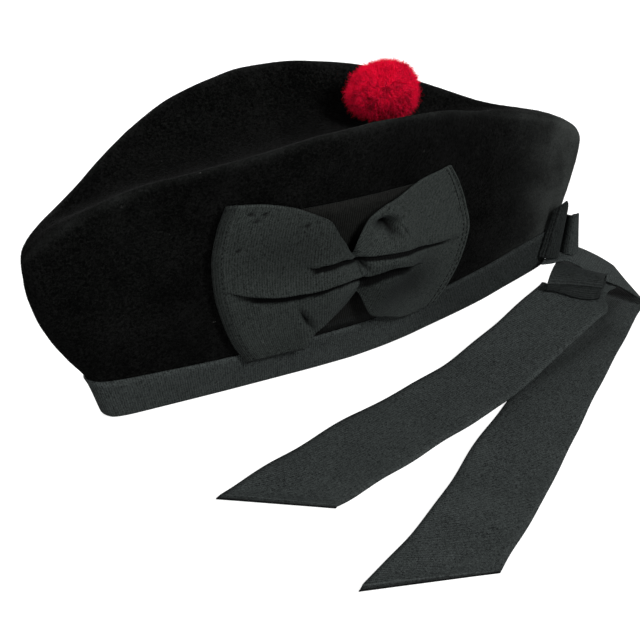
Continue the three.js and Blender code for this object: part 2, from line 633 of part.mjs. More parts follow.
// Wrap of the knot: an oval tube with soft pleats along it.
function backWrap() {
  const axis = new THREE.Vector3(Math.cos(WRAP_TURN), Math.sin(WRAP_TURN), 0);
  const sideways = new THREE.Vector3(-axis.y, axis.x, 0);
  const centre = new THREE.Vector3(WRAP_X, WRAP_Y, WRAP_Z);
  const ring = (share, inset) => {
    const waist = 1 - WRAP_WAIST * bump(share);
    const halfWide = mix(WRAP_WIDE_LEFT, WRAP_WIDE_RIGHT, share);
    const points = [];
    for (let i = 0; i < WRAP_ROUND; i += 1) {
      const turn = (2 * Math.PI * i) / WRAP_ROUND;
      const pleat = WRAP_PLEAT * Math.cos(6 * turn) * (inset > 0 ? 0 : 1);
      const wide = (halfWide * waist - inset + pleat) * Math.cos(turn);
      const tall = (WRAP_HALF_TALL * waist - inset + pleat) * Math.sin(turn);
      const p = centre.clone();
      p.addScaledVector(axis, (share - 0.5) * WRAP_LONG);
      p.addScaledVector(sideways, wide);
      p.z += tall;
      points.push(p);
    }
    return points;
  };
  const rings = [];
  for (let i = 0; i <= WRAP_STEPS; i += 1) {
    rings.push(ring(i / WRAP_STEPS, 0));
  }
  for (let i = WRAP_STEPS; i >= 0; i -= 1) {
    rings.push(ring(i / WRAP_STEPS, WRAP_WALL));
  }
  rings.push(ring(0, 0));
  return closedShape(rings.flat(), gridTriangles(rings.length, WRAP_ROUND, 0, true, false));
}

const toManifold = (geometry) => {
  geometry.deleteAttribute("normal");
  geometry.deleteAttribute("uv");
  const merged = mergeVertices(geometry, 1e-4);
  const vertProperties = new Float32Array(merged.getAttribute("position").array);
  const triVerts = new Uint32Array(merged.getIndex().array);
  return new wasm.Manifold(new wasm.Mesh({ numProp: 3, vertProperties, triVerts }));
};

// Toorie: locks of cut wool fused to a head, pressed flat where it sits in the dented top.
function toorie() {
  const floorAt = (x, y) => {
    const along = (y - RIDGE_FRONT) / (RIDGE_BACK - RIDGE_FRONT);
    return topAt(along, 1 - Math.min(1, Math.abs(x) / wallAt(along, 1).x)).z;
  };
  const centre = new THREE.Vector3(0, TOORIE_Y, floorAt(0, TOORIE_Y) + TOORIE_HEIGHT + TOORIE_RISE);
  const head = new THREE.SphereGeometry(1, 12, 9);
  head.scale(TOORIE_RADIUS, TOORIE_RADIUS, TOORIE_HEIGHT);
  let body = toManifold(head);
  const golden = Math.PI * (3 - Math.sqrt(5));
  for (let i = 0; i < LOCKS; i += 1) {
    const high = 1 - (2 * (i + 0.5)) / LOCKS;
    const round = Math.sqrt(1 - high * high);
    const turn = golden * i;
    const way = new THREE.Vector3(round * Math.cos(turn), round * Math.sin(turn), high);
    const size = 1 + LOCK_VARIETY * Math.sin(LOCK_PHASE * i);
    const lock = new THREE.OctahedronGeometry(1, 1);
    lock.scale(LOCK_RADIUS * size, LOCK_RADIUS * size, LOCK_LENGTH * size);
    lock.applyQuaternion(new THREE.Quaternion().setFromUnitVectors(new THREE.Vector3(0, 0, 1), way));
    const seat = way.clone().multiply(new THREE.Vector3(TOORIE_RADIUS, TOORIE_RADIUS, TOORIE_HEIGHT));
    seat.multiplyScalar(LOCK_SEAT);
    lock.translate(seat.x, seat.y, seat.z);
    body = body.add(toManifold(lock));
  }
  const mesh = body.getMesh();
  const points = [];
  for (let i = 0; i < mesh.numVert; i += 1) {
    const p = new THREE.Vector3(...mesh.vertProperties.slice(3 * i, 3 * i + 3)).add(centre);
    p.z = Math.max(p.z, floorAt(p.x, p.y) + 2 * GAP);
    points.push(p);
  }
  const triangles = [];
  for (let i = 0; i < mesh.triVerts.length; i += 3) {
    triangles.push([...mesh.triVerts.slice(i, i + 3)]);
  }
  return closedShape(points, triangles);
}

const felt = new THREE.MeshStandardMaterial({ color: 0x0d0e0f, roughness: 0.95, metalness: 0 });
const grosgrain = new THREE.MeshStandardMaterial({ color: 0x24292c, roughness: 0.8, metalness: 0 });
const wool = new THREE.MeshStandardMaterial({ color: 0xb8132b, roughness: 0.95, metalness: 0 });

const glengarry = new THREE.Group();
const pieces = [
  ["crown", crown, felt],
  ["band", band, grosgrain],
  ["cockade_backing", cockadeBacking, grosgrain],
  ["cockade_bow", cockadeBow, grosgrain],
  ["toorie", toorie, wool],
  ["back_loop", backLoop, grosgrain],
  ["back_wrap", backWrap, grosgrain],
  ["tail_left", () => tail(TAIL_LEFT), grosgrain],
  ["tail_right", () => tail(TAIL_RIGHT), grosgrain],
];
pieces.forEach(([name, make, material]) => {
  const mesh = new THREE.Mesh(make(), material);
  mesh.name = name;
  glengarry.add(mesh);
});

export default glengarry;
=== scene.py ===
# %% [markdown]
# # Dressing a glengarry
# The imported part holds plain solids: a folded felt crown, its band, a bow, a pompom, a knot and two tails.
# This lesson rebuilds each one in finer cloth, in the same place, and gives it felt, ribbon or wool.
# Each piece could be sculpted by hand, but short tables and functions can be read, changed and run again.

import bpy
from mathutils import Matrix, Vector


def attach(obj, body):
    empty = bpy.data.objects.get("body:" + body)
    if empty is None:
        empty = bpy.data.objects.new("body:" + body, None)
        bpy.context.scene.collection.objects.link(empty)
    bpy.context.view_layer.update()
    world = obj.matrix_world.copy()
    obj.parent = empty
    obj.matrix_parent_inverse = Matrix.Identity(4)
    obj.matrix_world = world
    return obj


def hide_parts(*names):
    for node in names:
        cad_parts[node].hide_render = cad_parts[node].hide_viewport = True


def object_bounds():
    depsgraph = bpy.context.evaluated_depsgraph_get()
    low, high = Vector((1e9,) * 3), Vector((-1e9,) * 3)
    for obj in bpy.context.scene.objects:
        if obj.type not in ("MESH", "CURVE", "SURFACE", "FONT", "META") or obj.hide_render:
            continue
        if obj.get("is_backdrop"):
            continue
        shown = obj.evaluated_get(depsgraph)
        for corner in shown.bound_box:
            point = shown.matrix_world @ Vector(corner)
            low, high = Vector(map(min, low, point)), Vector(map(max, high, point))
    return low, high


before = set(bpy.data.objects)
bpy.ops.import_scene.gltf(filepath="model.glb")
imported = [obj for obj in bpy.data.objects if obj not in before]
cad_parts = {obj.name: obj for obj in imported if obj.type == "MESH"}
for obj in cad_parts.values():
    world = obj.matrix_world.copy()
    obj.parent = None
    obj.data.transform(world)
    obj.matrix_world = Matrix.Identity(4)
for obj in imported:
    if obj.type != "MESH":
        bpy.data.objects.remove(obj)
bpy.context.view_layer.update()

# %% [markdown]
# ## Camera
# The cap was photographed from its left and from above with a fairly long lens.
# A camera could be placed by eye, but angles round the cap and a distance say the same in three numbers.

# %% Camera
import math

import bpy
import numpy as np
from mathutils import Vector, noise

CAMERA_ROUND = math.radians(61.43)
CAMERA_ABOVE = math.radians(31.0)
CAMERA_DISTANCE = 0.82
CAMERA_LOOKS_AT = Vector((-0.0978, 0.0002, 0.0))
CAMERA_LENS = 87.64

scene = bpy.context.scene
away = Vector((
    math.sin(CAMERA_ROUND) * math.cos(CAMERA_ABOVE),
    -math.cos(CAMERA_ROUND) * math.cos(CAMERA_ABOVE),
    math.sin(CAMERA_ABOVE),
))
camera = bpy.data.objects.new("camera", bpy.data.cameras.new("camera"))
camera.location = CAMERA_LOOKS_AT + away * CAMERA_DISTANCE
camera.rotation_euler = away.to_track_quat("Z", "Y").to_euler()
camera.data.lens = CAMERA_LENS
scene.collection.objects.link(camera)
scene.camera = camera
print("camera at", [round(v, 3) for v in camera.location])

# %% [markdown]
# ## Shape of the cap
# A real cap of this kind is blocked from one piece of felt and then folded flat, so it has two long top
# folds with a dent between them. It could be made by cloth simulation, but the folds are set by hand when
# the cap is pressed. Here a table gives the cross section at a few places, and smooth curves join them.

# %% Smooth curves through short tables
MM = 0.001
CAP_MIDDLE = np.array([72.2, 3.1, 0.0])


def mix(a, b, t):
    return a + (b - a) * t


def smooth(t):
    t = np.clip(t, 0.0, 1.0)
    return t * t * (3.0 - 2.0 * t)


def bump(t):
    return 4.0 * t * (1.0 - t)


def bell(x, middle, wide):
    """1 at the middle, falling away softly on both sides."""
    return np.exp(-(((x - middle) / wide) ** 2))


def unit(vectors):
    return vectors / np.maximum(np.linalg.norm(vectors, axis=-1, keepdims=True), 1e-9)


def run_along(points):
    """Distance walked along a line of points."""
    return np.concatenate([[0], np.cumsum(np.linalg.norm(np.diff(points, axis=0), axis=-1))])


def curve_through(keys, values):
    """A smooth curve through the rows of a table that does not overshoot between them."""
    xs, ys = np.array(keys, float), np.array(values, float)
    slope = np.diff(ys) / np.diff(xs)
    both, total = slope[:-1] * slope[1:], slope[:-1] + slope[1:]
    inner = np.where(both > 0, 2.0 * both / np.where(both > 0, total, 1.0), 0.0)
    tangent = np.concatenate([slope[:1], inner, slope[-1:]])

    def curve(at):
        at = np.asarray(at, float)
        i = np.clip(np.searchsorted(xs, at, side="left") - 1, 0, len(xs) - 2)
        width = xs[i + 1] - xs[i]
        t = np.clip((at - xs[i]) / width, 0.0, 1.0)
        start = (1 + 2 * t) * (1 - t) ** 2 * ys[i] + t * (1 - t) ** 2 * width * tangent[i]
        return start + t * t * (3 - 2 * t) * ys[i + 1] + t * t * (t - 1) * width * tangent[i + 1]

    return curve


def curves_of(columns, rows, key_map=None):
    """Named curves, one for each column after the first, which is the key."""
    table = dict(zip(columns, zip(*rows)))
    keys = np.array(table[columns[0]], float)
    keys = key_map(keys) if key_map else keys
    return {name: curve_through(keys, table[name]) for name in columns[1:]}


print("mid value of a test curve:", float(curve_through([0, 1, 2], [0, 1, 0])(0.5)))

# %% Sections of the felt, in millimetres, from front to back
FELT = 2.2
BAND_SEAT = 1.3
RIM_FRONT, RIM_BACK = -129.0, 124.5
RIDGE_FRONT, RIDGE_BACK = -160.5, 143.0
RIDGE_ROUND = 9.0
WALL_FLARE = 1.3
END_REACH = 0.22

SECTION_COLUMNS = ("along", "rim_half", "lift", "ridge_half", "ridge_top", "valley", "belly")
SECTIONS = [
    (0.0, 0.0, 0.0, 0.0, 88.0, 0.0, 0.0),
    (0.004, 3.6, 0.0, 3.4, 94.0, 0.0, 0.5),
    (0.012, 5.7, 0.0, 5.2, 98.0, 0.3, 1.0),
    (0.04, 7.4, 0.0, 8.0, 106.0, 1.5, 2.0),
    (0.1, 8.6, 0.0, 13.5, 118.0, 7.0, 3.5),
    (0.17, 9.8, 0.0, 23.6, 128.5, 12.5, 4.5),
    (0.235, 10.8, 0.0, 34.0, 134.8, 17.0, 5.0),
    (0.3, 11.6, 0.0, 41.2, 139.6, 20.5, 5.0),
    (0.37, 12.4, 0.0, 45.0, 143.0, 22.8, 5.0),
    (0.43, 13.0, 0.0, 46.2, 145.0, 24.0, 5.0),
    (0.5, 13.2, 0.0, 44.6, 145.0, 24.4, 5.0),
    (0.56, 13.0, 0.6, 41.0, 143.0, 24.0, 5.0),
    (0.63, 12.4, 2.0, 35.2, 139.2, 22.5, 5.0),
    (0.69, 11.6, 4.0, 27.0, 133.2, 18.5, 4.5),
    (0.76, 10.8, 6.5, 17.0, 124.4, 10.5, 4.0),
    (0.82, 10.0, 9.0, 9.0, 115.6, 3.0, 3.5),
    (0.89, 8.8, 13.0, 6.4, 107.6, 0.8, 2.5),
    (0.95, 7.6, 16.3, 6.2, 100.0, 0.3, 1.2),
    (0.985, 5.9, 18.0, 5.6, 93.0, 0.0, 0.5),
    (1.0, 0.0, 18.5, 0.0, 80.0, 0.0, 0.0),
]
END_COLUMNS = ("up", "front", "back")
END_EDGES = [
    (0.0, 0.0, 0.0),
    (0.2, 1.0, 0.2),
    (0.38, -3.0, 0.9),
    (0.52, -5.6, 1.4),
    (0.66, -6.6, 1.8),
    (0.79, -5.6, 1.8),
    (0.92, -2.4, 0.9),
    (1.0, 0.0, 0.0),
]


def arc_of(along):
    return np.arccos(np.clip(1.0 - 2.0 * np.asarray(along, float), -1.0, 1.0))


section = curves_of(SECTION_COLUMNS, SECTIONS, arc_of)
end_edge = curves_of(END_COLUMNS, END_EDGES)


def part(name, along):
    return section[name](arc_of(along))


print("ridge height at mid length:", round(float(part("ridge_top", 0.5)), 1), "mm")

# %% Points on the felt's outer face
WALL_ENDS = 0.03, 0.97
WALL_TRIES, WALL_STEP = 36, 0.01


def rim_z(along):
    return part("lift", along) + BAND_SEAT


def wall_at(along, up):
    """Outer wall on the wearer's left: up is 0 at the felt's lower edge and 1 at the top fold."""
    along, up = np.broadcast_arrays(np.asarray(along, float), np.asarray(up, float))
    flare = np.maximum(up, 0.0) ** WALL_FLARE
    reach = end_edge["front"](up) * (1 - smooth(along / END_REACH))
    reach = reach + end_edge["back"](up) * (1 - smooth((1 - along) / END_REACH))
    x = mix(part("rim_half", along), part("ridge_half", along), flare) + part("belly", along) * bump(up)
    y = mix(mix(RIM_FRONT, RIM_BACK, along), mix(RIDGE_FRONT, RIDGE_BACK, along), up) + reach
    z = mix(rim_z(along), part("ridge_top", along), up)
    return np.stack([x, y, z], -1)


def top_at(along, inward):
    """Dented top: inward is 0 at the fold and 1 on the middle line."""
    fold = wall_at(along, 1.0)
    sink = part("valley", along) * (1 - (1 - inward) ** 2)
    return np.stack([fold[..., 0] * (1 - inward), fold[..., 1], fold[..., 2] - sink], -1)


def up_for(along, z):
    return (z - rim_z(along)) / (part("ridge_top", along) - rim_z(along))


def on_wall(y, z, out):
    """Places at lengthwise y and height z, standing out from the wall."""
    front, back = (np.full(np.shape(y), end) for end in WALL_ENDS)
    for _ in range(WALL_TRIES):
        along = (front + back) / 2
        ahead = wall_at(along, up_for(along, z))[..., 1] < y
        front, back = np.where(ahead, along, front), np.where(ahead, back, along)
    up = up_for(along, z)
    lengthwise = wall_at(along + WALL_STEP, up) - wall_at(along - WALL_STEP, up)
    upwards = wall_at(along, up + WALL_STEP) - wall_at(along, up - WALL_STEP)
    return wall_at(along, up) + unit(np.cross(lengthwise, upwards)) * np.asarray(out)[..., None]


print("wall half width at mid height:", round(float(wall_at(0.5, 0.5)[0]), 1), "mm")

# %% [markdown]
# ## Shared cloth effects as node groups
# Felt, ribbon and wool differ in their threads but share three effects: ribs, loose fibres and uneven dye.
# Each could be drawn again in every material. A node group is built once, takes named inputs, and each
# material sets its own sizes.

# %% Helpers that wire nodes
def add_node(tree, kind, inputs=None, **settings):
    """Adds a node, sets its options and fills or links its inputs."""
    node = tree.nodes.new(kind)
    for name, value in settings.items():
        setattr(node, name, value)
    for name, value in (inputs or {}).items():
        if isinstance(value, bpy.types.NodeSocket):
            tree.links.new(value, node.inputs[name])
        else:
            node.inputs[name].default_value = value
    return node


def maths(tree, operation, a, b=0.0, c=0.0):
    return add_node(tree, "ShaderNodeMath", {0: a, 1: b, 2: c}, operation=operation).outputs[0]


def remap(tree, value, low, high, new_low=0.0, new_high=1.0):
    inputs = {"Value": value, "From Min": low, "From Max": high, "To Min": new_low, "To Max": new_high}
    return add_node(tree, "ShaderNodeMapRange", inputs).outputs[0]


def weighted(tree, *terms):
    """The sum of some values, each times its weight."""
    total = 0.0
    for value, weight in terms:
        total = maths(tree, "MULTIPLY_ADD", value, weight, total)
    return total


def cloudy(tree, place, scale, detail, **more):
    inputs = {"Vector": place, "Scale": scale, "Detail": detail, **more}
    return add_node(tree, "ShaderNodeTexNoise", inputs).outputs


def wave(tree, turns):
    """A wave between 0 and 1 that is 1 at every whole turn."""
    swing = maths(tree, "COSINE", maths(tree, "MULTIPLY", turns, math.tau))
    return maths(tree, "MULTIPLY_ADD", swing, 0.5, 0.5)


def blend_colour(tree, share, first, second):
    return add_node(tree, "ShaderNodeMix", {0: share, 6: first, 7: second}, data_type="RGBA").outputs[2]


print("node helpers ready")

# %% Helpers for node groups
VECTOR, NUMBER = "NodeSocketVector", "NodeSocketFloat"


def new_group(name, inputs, outputs):
    """An empty node group with named sockets; its inputs are rows of name, type and default."""
    tree = bpy.data.node_groups.new(name, "ShaderNodeTree")
    for label, kind, default in inputs:
        socket = tree.interface.new_socket(name=label, in_out="INPUT", socket_type=kind)
        if default is not None:
            socket.default_value = default
    for label, kind in outputs:
        tree.interface.new_socket(name=label, in_out="OUTPUT", socket_type=kind)
    return tree, tree.nodes.new("NodeGroupInput").outputs


def close_group(tree, **made):
    """Links what a group made to its named outputs."""
    add_node(tree, "NodeGroupOutput", made)
    print("group:", tree.name, len(tree.nodes), "nodes")


print("group helpers ready")

# %% Ribbed weave: cords across the ribbon with threads over them
RIB_DRIFT, RIB_DRIFT_SCALE = 0.35, 0.35
THREAD_HEIGHT, THREAD_STAGGER = 0.35, 0.5
SLUB_SCALE, SLUB_SHADE, RIB_SHADE = 1.6, 0.9, 0.35

ribs, given = new_group(
    "Ribbed weave",
    [("Place", VECTOR, None), ("Rib Pitch", NUMBER, 1.2), ("Thread Pitch", NUMBER, 0.5)],
    [("Height", NUMBER), ("Shade", NUMBER)],
)
drift = cloudy(ribs, given["Place"], RIB_DRIFT_SCALE, 2.0)[0]
axes = add_node(ribs, "ShaderNodeSeparateXYZ", {0: given["Place"]}).outputs
along = maths(ribs, "DIVIDE", axes[0], given["Rib Pitch"])
along = maths(ribs, "MULTIPLY_ADD", drift, RIB_DRIFT, along)
across = maths(ribs, "DIVIDE", axes[1], given["Thread Pitch"])
across = maths(ribs, "MULTIPLY_ADD", maths(ribs, "FLOOR", along), THREAD_STAGGER, across)
height = maths(ribs, "MULTIPLY_ADD", wave(ribs, across), THREAD_HEIGHT, wave(ribs, along))
slub = cloudy(ribs, given["Place"], SLUB_SCALE, 3.0)[0]
close_group(ribs, Height=height, Shade=weighted(ribs, (height, RIB_SHADE), (slub, SLUB_SHADE)))

# %% Loose fibres: fine hairs lying every way
CLUMP_SINK = -0.35

fibres, given = new_group(
    "Loose fibres",
    [("Place", VECTOR, None), ("Fibre Size", NUMBER, 0.6)],
    [("Height", NUMBER), ("Shade", NUMBER)],
)
scale = maths(fibres, "DIVIDE", 1.0, given["Fibre Size"])
warp = cloudy(fibres, given["Place"], scale, 1.0)[1]
bent = add_node(fibres, "ShaderNodeVectorMath", {0: given["Place"], 1: warp}, operation="ADD").outputs[0]
hair = cloudy(fibres, bent, scale, 5.0, Roughness=0.72, Distortion=1.2)[0]
clump = add_node(fibres, "ShaderNodeTexVoronoi", {"Vector": bent, "Scale": scale}, feature="SMOOTH_F1")
height = maths(fibres, "MULTIPLY_ADD", clump.outputs["Distance"], CLUMP_SINK, hair)
close_group(fibres, Height=height, Shade=hair)

# %% Uneven dye and lint
LINT_BEND, LINT_BEND_SCALE = (3.0, 3.0, 3.0), 1.3
LINT_EDGE, LINT_CORE, LINT_BARE = 0.026, 0.012, 0.45

dye, given = new_group(
    "Uneven dye and lint",
    [("Place", VECTOR, None), ("Patch Size", NUMBER, 18.0), ("Lint Spacing", NUMBER, 12.0)],
    [("Patches", NUMBER), ("Lint", NUMBER)],
)
patches = cloudy(dye, given["Place"], maths(dye, "DIVIDE", 1.0, given["Patch Size"]), 4.0)[0]
scale = maths(dye, "DIVIDE", 1.0, given["Lint Spacing"])
stretch = cloudy(dye, given["Place"], LINT_BEND_SCALE, 1.0)[1]
bent = {0: stretch, 1: LINT_BEND, 2: given["Place"]}
bent = add_node(dye, "ShaderNodeVectorMath", bent, operation="MULTIPLY_ADD").outputs[0]
specks = add_node(dye, "ShaderNodeTexVoronoi", {"Vector": bent, "Scale": scale}).outputs
lint = remap(dye, specks["Distance"], LINT_EDGE, LINT_CORE)
chosen = add_node(dye, "ShaderNodeSeparateColor", {0: specks["Color"]}).outputs[0]
lint = maths(dye, "MULTIPLY", lint, maths(dye, "GREATER_THAN", chosen, LINT_BARE))
close_group(dye, Patches=patches, Lint=lint)

# %% [markdown]
# ## Materials
# The felt is black wool with a short nap. The ribbons are black grosgrain, which looks grey because its
# smooth ribs catch light. The pompom is crimson wool. A picture of each cloth could be used, but patterns
# made by nodes stay sharp at any distance and follow the real thread sizes.

# %% Starting a material
def new_material(name):
    """A material, its nodes and the place on the piece in millimetres."""
    material = bpy.data.materials.new(name)
    material.use_nodes = True
    tree = material.node_tree
    spot = add_node(tree, "ShaderNodeTexCoord").outputs["Object"]
    place = add_node(tree, "ShaderNodeVectorMath", {0: spot, "Scale": 1.0 / MM}, operation="SCALE")
    return material, tree, place.outputs[0]


def use_group(tree, group, **inputs):
    inputs = {name.replace("_", " "): value for name, value in inputs.items()}
    return add_node(tree, "ShaderNodeGroup", inputs, node_tree=group).outputs


def marked(tree, name):
    return add_node(tree, "ShaderNodeAttribute", attribute_name=name).outputs


def set_surface(material, colour, roughness, height, depth_mm, **constants):
    """Links what changes over the surface and sets the rest on the shader's own sockets."""
    tree = material.node_tree
    shader = tree.nodes["Principled BSDF"]
    relief = {"Height": height, "Distance": depth_mm * MM, "Strength": 1.0}
    relief = add_node(tree, "ShaderNodeBump", relief).outputs[0]
    linked = {"Base Color": colour, "Roughness": roughness, "Normal": relief}
    for name, socket in linked.items():
        tree.links.new(socket, shader.inputs[name])
    for name, value in constants.items():
        shader.inputs[name.replace("_", " ")].default_value = value
    print("material:", material.name)
    return shader


print("material helpers ready")

# %% Black felt
FELT_DARK = (0.0002, 0.0002, 0.0002, 1.0)
FELT_LIGHT = (0.0068, 0.0070, 0.0067, 1.0)
FELT_PALE = (0.036, 0.0395, 0.0375, 1.0)
FELT_SHADES = 0.7, 0.98
FELT_ROUGH = 0.95, 0.78
PALE_BY_NAP, PALE_BY_PATCH = (0.45, 1.0), (0.6, 1.4)
LINT_COLOUR = (0.1, 0.1, 0.095, 1.0)

felt, tree, place = new_material("black_felt")
nap = use_group(tree, fibres, Place=place, Fibre_Size=1.2)
tone = use_group(tree, dye, Place=place, Patch_Size=22.0, Lint_Spacing=15.0)
shade = weighted(tree, (nap["Shade"], 1.3), (tone["Patches"], 0.25))
colour = blend_colour(tree, remap(tree, shade, *FELT_SHADES), FELT_DARK, FELT_LIGHT)
# Paler where the crown is marked: rubbed felt with a painted highlight along the folds, paler towards the
# back end.
pale_share = marked(tree, "paleness")["Fac"]
pale_share = maths(tree, "MULTIPLY", pale_share, remap(tree, nap["Shade"], 0.3, 0.7, *PALE_BY_NAP))
pale_share = maths(tree, "MULTIPLY", pale_share, remap(tree, tone["Patches"], 0.35, 0.65, *PALE_BY_PATCH))
colour = blend_colour(tree, pale_share, colour, FELT_PALE)
colour = blend_colour(tree, tone["Lint"], colour, LINT_COLOUR)
set_surface(
    felt, colour, remap(tree, nap["Shade"], 0.2, 0.8, *FELT_ROUGH), nap["Height"], 0.5,
    Sheen_Weight=0.015, Sheen_Roughness=0.4, Sheen_Tint=(0.6, 0.63, 0.62, 1.0), Specular_IOR_Level=0.015,
)

# %% Black grosgrain
RIB_PITCH, THREAD_PITCH = 1.2, 0.55
RIBBON_DARK, RIBBON_LIGHT = (0.0043, 0.0051, 0.0051, 1.0), (0.0445, 0.0515, 0.05, 1.0)
# The bow's copy of the ribbon is a little darker and less blue: painted shade.
BOW_SHADED_DARK, BOW_SHADED_LIGHT = (0.0042, 0.0051, 0.0047, 1.0), (0.0415, 0.0485, 0.0455, 1.0)
BACKING_DARK, BACKING_LIGHT = (0.001, 0.0011, 0.001, 1.0), (0.0095, 0.0098, 0.0088, 1.0)
# Colour of painted shade in folds, dents and hollows and under things, and of the loop's seam lines.
PAINTED_SHADE_AND_SEAM_COLOUR = (0.0004, 0.0005, 0.0005, 1.0)
RIBBON_SHADES, RIBBON_ROUGH = (2.42, 3.58), (0.85, 0.6)


def grosgrain_finish(name, dark, light):
    """Ribbed ribbon that follows the threads of its piece and darkens with painted shade, and along seams,
    where its points are marked.
    """
    material, tree, place = new_material(name)
    threads = marked(tree, "cloth_mm")["Vector"]
    weave = use_group(tree, ribs, Place=threads, Rib_Pitch=RIB_PITCH, Thread_Pitch=THREAD_PITCH)
    tone = use_group(tree, dye, Place=place, Patch_Size=26.0, Lint_Spacing=34.0)
    speckle = use_group(tree, fibres, Place=place, Fibre_Size=0.95)
    shade = weighted(tree, (weave["Shade"], 1.0), (tone["Patches"], 0.35), (speckle["Shade"], 4.4))
    colour = blend_colour(tree, remap(tree, shade, *RIBBON_SHADES), dark, light)
    colour = blend_colour(tree, tone["Lint"], colour, LINT_COLOUR)
    # Painted shade, and the loop's seam lines, darken the colour where marked.
    colour = blend_colour(tree, marked(tree, "painted_shade_and_seams")["Fac"], colour, PAINTED_SHADE_AND_SEAM_COLOUR)
    set_surface(
        material, colour, remap(tree, weave["Height"], 0.0, 1.2, *RIBBON_ROUGH), weave["Height"], 0.16,
        Sheen_Weight=0.02, Sheen_Roughness=0.4, Sheen_Tint=(0.7, 0.78, 0.8, 1.0), Specular_IOR_Level=0.06,
    )
    return material


grosgrain = grosgrain_finish("black_grosgrain", RIBBON_DARK, RIBBON_LIGHT)
bow_shaded_grosgrain = grosgrain_finish("black_bow_grosgrain_shaded", BOW_SHADED_DARK, BOW_SHADED_LIGHT)
backing_cloth = grosgrain_finish("black_backing", BACKING_DARK, BACKING_LIGHT)

# %% Crimson wool
WOOL_DEEP = (0.15, 0.0004, 0.003, 1.0)
WOOL_BRIGHT = (0.9, 0.003, 0.042, 1.0)
WOOL_SHADES, WOOL_ROUGH = (1.9, 3.05), (0.95, 0.75)

wool, tree, place = new_material("crimson_wool")
strand = add_node(tree, "ShaderNodeSeparateXYZ", {0: marked(tree, "strand")["Vector"]}).outputs
curl = use_group(tree, fibres, Place=place, Fibre_Size=0.5)
tone = use_group(tree, dye, Place=place, Patch_Size=4.5, Lint_Spacing=40.0)
out_along, own_tone, height = strand
# Painted shade at the yarns' roots (out_along) and painted light towards the top (height); own_tone, curl
# and patches are the wool's own uneven tone.
shade = weighted(
    tree, (out_along, 0.6), (own_tone, 0.7), (curl["Shade"], 0.3), (tone["Patches"], 1.9), (height, 0.9)
)
colour = blend_colour(tree, remap(tree, shade, *WOOL_SHADES), WOOL_DEEP, WOOL_BRIGHT)
set_surface(
    wool, colour, remap(tree, curl["Shade"], 0.2, 0.8, *WOOL_ROUGH), curl["Height"], 0.3,
    Sheen_Weight=0.3, Sheen_Roughness=0.5, Sheen_Tint=(1.0, 0.13, 0.28, 1.0), Specular_IOR_Level=0.01,
)

# %% Black sewing thread
THREAD_DARK = (0.0008, 0.0008, 0.0009, 1.0)
THREAD_LIGHT = (0.006, 0.0065, 0.0065, 1.0)
THREAD_ROUGH = 0.7, 0.45

thread_finish, tree, place = new_material("black_thread")
twist = use_group(tree, fibres, Place=place, Fibre_Size=0.35)
colour = blend_colour(tree, remap(tree, twist["Shade"], 0.3, 0.7), THREAD_DARK, THREAD_LIGHT)
rough = remap(tree, twist["Shade"], 0.2, 0.8, *THREAD_ROUGH)
set_surface(thread_finish, colour, rough, twist["Height"], 0.08, Sheen_Weight=0.02, Specular_IOR_Level=0.08)

# %% [markdown]
# ## Building pieces from grids of points
# Every piece of cloth here is a grid of points with a front, a back and a border. A Solidify modifier
# could add the back, but then the ribs could not stand out on both faces, so the faces are made together.

# %% Meshes from points
def grid_faces(rows, columns, wrap=False):
    """Corner numbers of the cells of a grid of points, row by row."""
    r = np.arange(rows - 1)[:, None] * columns
    c = np.arange(columns if wrap else columns - 1)[None, :]
    following = (c + 1) % columns
    cells = [r + c, r + following, r + columns + following, r + columns + c]
    return np.stack(cells, -1).reshape(-1, 4)


def border_of(rows, columns):
    """The outer ring of a grid, in order."""
    top = np.arange(columns - 1)
    right = np.arange(rows - 1) * columns + columns - 1
    bottom = (rows - 1) * columns + np.arange(columns - 1, 0, -1)
    left = np.arange(rows - 1, 0, -1) * columns
    return np.concatenate([top, right, bottom, left])


def grid_normals(grid):
    return unit(np.cross(np.gradient(grid, axis=1), np.gradient(grid, axis=0)))


def new_piece(name, points, faces, material, attributes=None):
    """A smooth mesh from millimetre points about the cap, placed in the part's frame."""
    mesh = bpy.data.meshes.new(name)
    places = (np.asarray(points).reshape(-1, 3) - CAP_MIDDLE) * MM
    mesh.from_pydata(places.tolist(), [], [list(face) for face in faces])
    mesh.polygons.foreach_set("use_smooth", np.ones(len(mesh.polygons), bool))
    for label, values in (attributes or {}).items():
        layer = mesh.attributes.new(label, "FLOAT_VECTOR", "POINT")
        layer.data.foreach_set("vector", np.asarray(values, np.float32).ravel())
    mesh.materials.append(material)
    mesh.update()
    piece = bpy.data.objects.new(name, mesh)
    scene.collection.objects.link(piece)
    return piece


def settle(piece, slot, *nodes):
    """The piece moves with the part and stands for its solids; its slot is not used."""
    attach(piece, "root")
    if nodes:
        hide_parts(*nodes)
    triangles = sum(len(p.vertices) - 2 for p in piece.data.polygons)
    print(f"{piece.name}: {len(piece.data.vertices)} points, {triangles} triangles")
    return piece


print("mesh helpers ready")

# %% Cloth with a front, a back and ribs
RIB_RISE = 0.1


def rib_height(along_mm):
    """Between half a rise above and half a rise below the cloth's mean face."""
    return 0.5 * np.cos(2 * np.pi * along_mm / RIB_PITCH)


def same_mark(values):
    """One number a point, as the three that a mark on the mesh holds."""
    return np.stack([values] * 3, -1)


